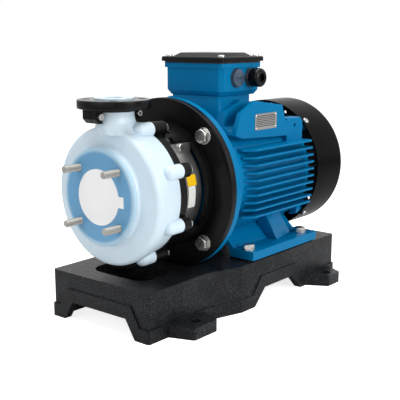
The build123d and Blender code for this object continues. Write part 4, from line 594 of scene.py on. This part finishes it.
@dataclass
class WetEnd:
    """Casing, ports, studs, transit cover and discharge flange.

    Attributes:
        casing_edge: Radius of the casing's moulded edges.
        casing_segments: Faces across each of them.
        flange_edge: Radius of the discharge flange's edges.
        collar_edge: Radius of the collar halves' edges.
        screw_edge: Radius of the collar screws' edges.
        stud_radius: Outside radius of the stud threads.
        stud_circle: Radius of the stud circle.
        stud_tip_x: Outer end of the studs.
        stud_root_x: Inner end of the studs.
        first_stud_deg: Angle of the first stud on its circle.
        stud_count: Number of studs.
        stud_sides: Faces around a stud.
        pitch: Thread pitch.
        thread_depth: Depth of the thread.
        thread_lead: Plain length at each end of the thread.
        crest: Where a thread's crest starts and ends, as shares of the pitch.
    """

    casing_edge: float = 1.0 * MM
    casing_segments: int = 3
    flange_edge: float = 0.5 * MM
    collar_edge: float = 0.6 * MM
    screw_edge: float = 0.3 * MM
    stud_radius: float = 5.0 * MM
    stud_circle: float = 52.5 * MM
    stud_tip_x: float = -95.4 * MM
    stud_root_x: float = -55.0 * MM
    first_stud_deg: float = 45
    stud_count: int = 4
    stud_sides: int = 20
    pitch: float = 1.5 * MM
    thread_depth: float = 0.75 * MM
    thread_lead: float = 1.0 * MM
    crest: Span = (0.35, 0.55)

    def build(self) -> None:
        """Dress the wet end."""
        softened("pump_casing", MILKY_PLASTIC, self.casing_edge, self.casing_segments)
        softened("discharge_flange", GLOSS_BLACK, self.flange_edge)
        softened("collar_front_half", SATIN_BLACK, self.collar_edge)
        softened("collar_rear_half", SATIN_BLACK, self.collar_edge)
        softened("collar_screws", ZINC, self.screw_edge)
        paint_nodes({
            "suction_cover": BLUE_SHEET, "suction_label": LABEL_FILM,
            "rear_cover": MILKY_PLASTIC, "casing_o_ring": RUBBER,
        })
        self.studs()

    def thread_profile(self) -> list[tuple[float, float]]:
        """Return a stud's outline with its thread, as (radius, height) from the tip."""
        length = self.stud_root_x - self.stud_tip_x
        root = self.stud_radius - self.thread_depth
        profile = [(0.0, 0.0), (root, 0.0)]
        for turn in range(int((length - 2 * self.thread_lead) / self.pitch)):
            start = self.thread_lead + self.pitch * turn
            profile.append((root, start))
            profile += [(self.stud_radius, start + share * self.pitch) for share in self.crest]
        return profile + [(root, length), (0.0, length)]

    def studs(self) -> None:
        """Cut threads on the studs of the suction port."""
        profile = self.thread_profile()
        rods = []
        for stud in range(self.stud_count):
            angle = math.radians(self.first_stud_deg + 360 / self.stud_count * stud)
            tip = (self.stud_tip_x, self.stud_circle * math.cos(angle),
                   SHAFT_Z + self.stud_circle * math.sin(angle))
            rods.append(moved(turned(profile, self.stud_sides), towards(tip, (1, 0, 0))))
        piece = new_piece("suction_stud_threads", merged(rods), TURNED_STEEL, "suction_studs")
        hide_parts("suction_studs")


@dataclass
class Lantern:
    """Clamp ring, lantern bracket, guards and their fasteners.

    Attributes:
        cast_edge: Radius of the cast edges.
        cast_segments: Faces across each of them.
        sheet_edge: Radius of the guards' edges.
        bolt_edge: Radius of the bolts' edges.
        washer_edge: Radius of the washers' edges.
        guard_radius: Outside radius of the guard sheets.
        upper_tag_x: Axial span of the upper tag on the near guard.
        upper_tag_deg: Its lower and upper edge, as angles above the shaft.
        lower_tag_x: Axial span of the lower tag.
        lower_tag_deg: Its lower and upper edge.
        tag_gap: Gap between guard and tag.
        tag_thickness: Thickness of a tag.
        tag_steps: Faces along a tag's bend.
    """

    cast_edge: float = 1.2 * MM
    cast_segments: int = 3
    sheet_edge: float = 0.2 * MM
    bolt_edge: float = 0.4 * MM
    washer_edge: float = 0.3 * MM
    guard_radius: float = 79.5 * MM
    upper_tag_x: Span = (23.2 * MM, 41.5 * MM)
    upper_tag_deg: Span = (7.5, 18.7)
    lower_tag_x: Span = (24 * MM, 38.5 * MM)
    lower_tag_deg: Span = (-14.4, 7.2)
    tag_gap: float = 0.08 * MM
    tag_thickness: float = 0.15 * MM
    tag_steps: int = 6

    def build(self) -> None:
        """Dress the lantern."""
        for casting in ("clamp_ring", "lantern_bracket"):
            softened(casting, SATIN_BLACK, self.cast_edge, self.cast_segments)
        for guard in ("guard_near", "guard_far"):
            softened(guard, BRUSHED_SHEET, self.sheet_edge)
        softened("lantern_bolts", ZINC, self.bolt_edge)
        softened("lantern_washers", ZINC, self.washer_edge)
        paint_nodes(dict.fromkeys(("lantern_nuts", "casing_bolts", "guard_screws"), ZINC))
        self.tag("guard_tag_upper", TAG_YELLOW, self.upper_tag_x, self.upper_tag_deg)
        self.tag("guard_tag_lower", TAG_WHITE, self.lower_tag_x, self.lower_tag_deg)

    def tag(self, name: str, finish: Finish, along: Span, degrees: Span) -> None:
        """Stick a bare tag on the near guard.

        Args:
            name: Name of the tag.
            finish: Finish of the tag.
            along: Its span along the shaft.
            degrees: Lower and upper edge as angles above the shaft.
        """
        radius = self.guard_radius + self.tag_gap
        low = math.radians(180 - degrees[0])
        start = (radius * math.cos(low), SHAFT_Z + radius * math.sin(low))
        shape = bmesh.new()
        verts = [shape.verts.new((x, *start)) for x in along]
        edge = shape.edges.new(verts)
        bmesh.ops.spin(shape, geom=verts + [edge], cent=(0, 0, SHAFT_Z), axis=(1, 0, 0),
                       dvec=(0, 0, 0), angle=-math.radians(degrees[1] - degrees[0]),
                       steps=self.tag_steps, use_merge=False, use_duplicate=False)
        bmesh.ops.recalc_face_normals(shape, faces=shape.faces[:])
        bmesh.ops.solidify(shape, geom=shape.faces[:], thickness=self.tag_thickness)
        new_piece(name, shape, finish, "guard_near")


@dataclass
class ShaftLine:
    """Rotating parts, bearings, stator and seal, all without softened edges."""

    def build(self) -> None:
        """Finish every piece of the shaft line."""
        paint_nodes({
            "pump_shaft": TURNED_STEEL, "stub_screws": ZINC, "shaft_key": TURNED_STEEL,
            "slinger": RUBBER, "impeller": MILKY_PLASTIC, "impeller_nut": MILKY_PLASTIC,
            "seal_seat": CERAMIC, "seal_face": CARBON, "seal_bellows": RUBBER,
            "seal_collar": TURNED_STEEL, "motor_shaft": TURNED_STEEL,
            "rotor_core": LAMINATIONS, "stator_core": LAMINATIONS, "stator_winding": COPPER,
            "front_bearing_outer": TURNED_STEEL, "rear_bearing_outer": TURNED_STEEL,
            "front_bearing_inner": TURNED_STEEL, "rear_bearing_inner": TURNED_STEEL,
            "fan": BLACK_PLASTIC, "fan_ring": TURNED_STEEL,
        })


@dataclass
class Motor:
    """Motor housing, feet, shields, cowl and nameplate.

    Attributes:
        frame_edge: Radius of the finned frame's edges.
        front_edge: Radius of the front shield's edges.
        rear_edge: Radius of the rear shield's edges.
        cowl_edge: Radius of the cowl's edges.
        foot_bolt_edge: Radius of the foot bolts' edges.
        small_edge: Radius of the cowl screws' and foot washers' edges.
        plate_middle: Middle of the nameplate's face.
        plate_size: Length and height of the nameplate.
        rivet_inset: Distance of a rivet from the plate's edges.
        rivet_head: Outline of a rivet's head in millimetres, as (radius, height).
        rivet_sides: Faces around a rivet.
        bar_margin: Bare edge round the printed bars.
        bar_height: Height of a printed bar.
        bar_gap: Gap between bars of one row.
        bar_thickness: Thickness of the print.
        row_count: Number of rows.
        most_bars: Number of bars in the fullest row.
    """

    frame_edge: float = 0.7 * MM
    front_edge: float = 1.0 * MM
    rear_edge: float = 0.8 * MM
    cowl_edge: float = 0.4 * MM
    foot_bolt_edge: float = 0.3 * MM
    small_edge: float = 0.2 * MM
    plate_middle: Point = (196 * MM, -85.8 * MM, 270.5 * MM)
    plate_size: tuple[float, float] = (56 * MM, 24 * MM)
    rivet_inset: float = 3 * MM
    rivet_head: tuple[tuple[float, float], ...] = (
        (0.0, 0.0), (1.5, 0.0), (1.4, 0.4), (0.8, 0.8), (0.0, 0.95))
    rivet_sides: int = 16
    bar_margin: float = 3 * MM
    bar_height: float = 0.9 * MM
    bar_gap: float = 1.2 * MM
    bar_thickness: float = 0.12 * MM
    row_count: int = 7
    most_bars: int = 3

    def build(self) -> None:
        """Dress the motor."""
        softened("motor_frame", MOTOR_ENAMEL, self.frame_edge)
        softened("motor_front_shield", MOTOR_ENAMEL, self.front_edge)
        softened("rear_end_shield", MOTOR_ENAMEL, self.rear_edge)
        softened("fan_cowl", COWL_BLACK, self.cowl_edge)
        softened("cowl_screws", ZINC, self.small_edge)
        softened("foot_bolts", ZINC, self.foot_bolt_edge)
        softened("foot_washers", ZINC, self.small_edge)
        paint_nodes({"nameplate": BRUSHED_SHEET})
        self.rivets()
        self.print_bars()

    def rivets(self) -> None:
        """Rivet the nameplate at its corners."""
        middle_x, face_y, middle_z = self.plate_middle
        reach_x, reach_z = (size / 2 - self.rivet_inset for size in self.plate_size)
        profile = [(radius * MM, height * MM) for radius, height in self.rivet_head]
        heads = []
        for along in (-1, 1):
            for up in (-1, 1):
                at = (middle_x + along * reach_x, face_y, middle_z + up * reach_z)
                heads.append(moved(turned(profile, self.rivet_sides), towards(at, (0, -1, 0))))
        new_piece("nameplate_rivets", merged(heads), ZINC, "nameplate")

    def print_bars(self) -> None:
        """Print rows of plain bars on the nameplate."""
        middle_x, face_y, middle_z = self.plate_middle
        length, height = self.plate_size
        left = middle_x - length / 2 + self.bar_margin
        first_top = middle_z + height / 2 - self.bar_margin
        width = length - 2 * self.bar_margin
        bars = []
        for row in range(self.row_count):
            top = first_top - row * (height - 2 * self.bar_margin) / self.row_count
            count = 1 + row % self.most_bars
            for bar in range(count):
                start = left + bar * width / count
                low = (start, face_y - self.bar_thickness, top - self.bar_height)
                high = (start + width / count - self.bar_gap, face_y, top)
                bars.append(block(low, high))
        new_piece("nameplate_print", merged(bars), SATIN_BLACK, "nameplate")


@dataclass
class TerminalBox:
    """Terminal box, lid and cable entries.

    Attributes:
        box_edge: Radius of the cast box's edges.
        lid_edge: Radius of the lid's edges.
        screw_edge: Radius of the lid screws' edges.
        entry_edge: Radius of the plug's and the gland body's edges.
        cap_edge: Radius of the gland cap's edges.
    """

    box_edge: float = 0.8 * MM
    lid_edge: float = 0.6 * MM
    screw_edge: float = 0.2 * MM
    entry_edge: float = 0.3 * MM
    cap_edge: float = 0.4 * MM

    def build(self) -> None:
        """Dress the terminal box."""
        softened("terminal_box", MOTOR_ENAMEL, self.box_edge)
        softened("terminal_lid", SATIN_BLACK, self.lid_edge)
        softened("lid_screws", ZINC, self.screw_edge)
        softened("blanking_plug", GREY_PLASTIC, self.entry_edge)
        softened("gland_body", BLACK_PLASTIC, self.entry_edge)
        softened("gland_cap", GLOSS_BLACK, self.cap_edge)
        paint_nodes({
            "plug_seal": RUBBER, "gland_seal": RUBBER, "terminal_gasket": RUBBER,
            "terminal_board": BLACK_PLASTIC, "terminal_studs": ZINC,
        })


@dataclass(frozen=True)
class Lamp:
    """Soft rectangular lamp.

    Attributes:
        name: Name of the lamp.
        at: Its place.
        size: Its two sides in metres.
        power: Its power in watts.
    """

    name: str
    at: Point
    size: tuple[float, float]
    power: float


@dataclass
class Studio:
    """Floor, lamps and camera.

    Attributes:
        floor_reach: Half the side of the floor.
        floor_shade: Brightness of the floor's own colour.
        floor_glow: Light that the camera sees the floor give off.
        room_light: Strength of the even light that falls on the pump.
        seen_light: Strength of the background in the camera and in reflections.
        lamps_aim: Point that the lamps face.
        lamps: The lamps.
        camera_at: Place of the camera.
        looks_at: Point in the middle of its picture.
        lens: Focal length in millimetres.
        sensor_width: Width of the picture that the focal length goes with.
    """

    floor_reach: float = 12.0
    floor_shade: float = 0.86
    floor_glow: float = 0.8
    room_light: float = 0.3
    seen_light: float = 1.0
    lamps_aim: Point = (0.12, 0.0, 0.16)
    lamps: tuple[Lamp, ...] = (
        Lamp("lamp_top", (0.1, 0.1, 1.9), (1.8, 1.4), 29.0),
        Lamp("lamp_left", (-1.9, 0.3, 1.1), (1.2, 1.2), 9.5),
        Lamp("lamp_right", (0.2, -2.0, 0.9), (1.2, 1.2), 25.0),
    )
    camera_at: Point = (-0.7941, -0.7727, 0.3946)
    looks_at: Point = (0.1445, 0.0, 0.1469)
    lens: float = 72.27
    sensor_width: float = 36.0

    def build(self) -> None:
        """Set up the studio."""
        self.lay_floor()
        self.light_room()
        self.hang_lamps()
        self.set_camera()

    def lay_floor(self) -> None:
        """Lay the white floor, which still takes the pump's soft shadow."""
        shape = bmesh.new()
        bmesh.ops.create_grid(shape, x_segments=1, y_segments=1, size=self.floor_reach)
        mesh = bpy.data.meshes.new("floor")
        shape.to_mesh(mesh)
        shape.free()
        floor = bpy.data.objects.new("floor", mesh)
        bpy.context.scene.collection.objects.link(floor)
        material = bpy.data.materials.new("floor_white")
        material.use_nodes = True
        tree = Tree(material.node_tree)
        out = tree.add("ShaderNodeOutputMaterial")
        path = tree.add("ShaderNodeLightPath")
        lift = tree.add("ShaderNodeMath", {1: self.floor_glow}, operation="MULTIPLY")
        shader = tree.add("ShaderNodeBsdfPrincipled", {
            "Base Color": (*[self.floor_shade] * 3, 1.0), "Roughness": 0.9,
            "Specular IOR Level": 0.0, "Emission Color": (1, 1, 1, 1)})
        tree.join(path, "Is Camera Ray", lift, 0)
        tree.join(lift, "Value", shader, "Emission Strength")
        tree.join(shader, "BSDF", out, "Surface")
        mesh.materials.append(material)

    def light_room(self) -> None:
        """Light the room evenly, with a white background."""
        world = bpy.data.worlds.new("room")
        bpy.context.scene.world = world
        world.use_nodes = True
        tree = Tree(world.node_tree)
        out = tree.add("ShaderNodeOutputWorld")
        path = tree.add("ShaderNodeLightPath")
        strength = tree.add("ShaderNodeMapRange", {
            "To Min": self.room_light, "To Max": self.seen_light})
        sky = tree.add("ShaderNodeBackground", {"Color": (1, 1, 1, 1)})
        mirror = tree.add("ShaderNodeMath", operation="MAXIMUM")
        seen = tree.add("ShaderNodeMath", operation="MAXIMUM")
        tree.join(path, "Is Glossy Ray", mirror, 0)
        tree.join(path, "Is Transmission Ray", mirror, 1)
        tree.join(path, "Is Camera Ray", seen, 0)
        tree.join(mirror, "Value", seen, 1)
        tree.join(seen, "Value", strength, "Value")
        tree.join(strength, "Result", sky, "Strength")
        tree.join(sky, "Background", out, "Surface")

    def hang_lamps(self) -> None:
        """Hang the soft lamps."""
        for lamp in self.lamps:
            data = bpy.data.lights.new(lamp.name, "AREA")
            data.shape = "RECTANGLE"
            data.size, data.size_y = lamp.size
            data.energy = lamp.power
            aim_from(bpy.data.objects.new(lamp.name, data), lamp.at, self.lamps_aim)

    def set_camera(self) -> None:
        """Set the camera up as in the photograph."""
        data = bpy.data.cameras.new("camera")
        data.lens = self.lens
        data.sensor_width = self.sensor_width
        data.sensor_fit = "HORIZONTAL"
        camera = bpy.data.objects.new("camera", data)
        aim_from(camera, self.camera_at, self.looks_at)
        bpy.context.scene.camera = camera


def aim_from(holder: bpy.types.Object, at: Point, target: Point) -> None:
    """Put a lamp or camera in the scene, facing a point.

    Args:
        holder: The lamp or camera.
        at: Its place.
        target: Point that it faces.
    """
    bpy.context.scene.collection.objects.link(holder)
    aim = (Vector(target) - Vector(at)).to_track_quat("-Z", "Y")
    holder.matrix_world = Matrix.Translation(at) @ aim.to_matrix().to_4x4()


def main() -> None:
    """Build the pump's looks in order."""
    assemblies = (Baseplate(), WetEnd(), Lantern(), ShaftLine(), Motor(), TerminalBox(), Studio())
    for assembly in assemblies:
        assembly.build()
        LOG.info("built %s", type(assembly).__name__)
    bpy.context.scene.view_settings.view_transform = "Standard"


if __name__ == "__main__":
    main()
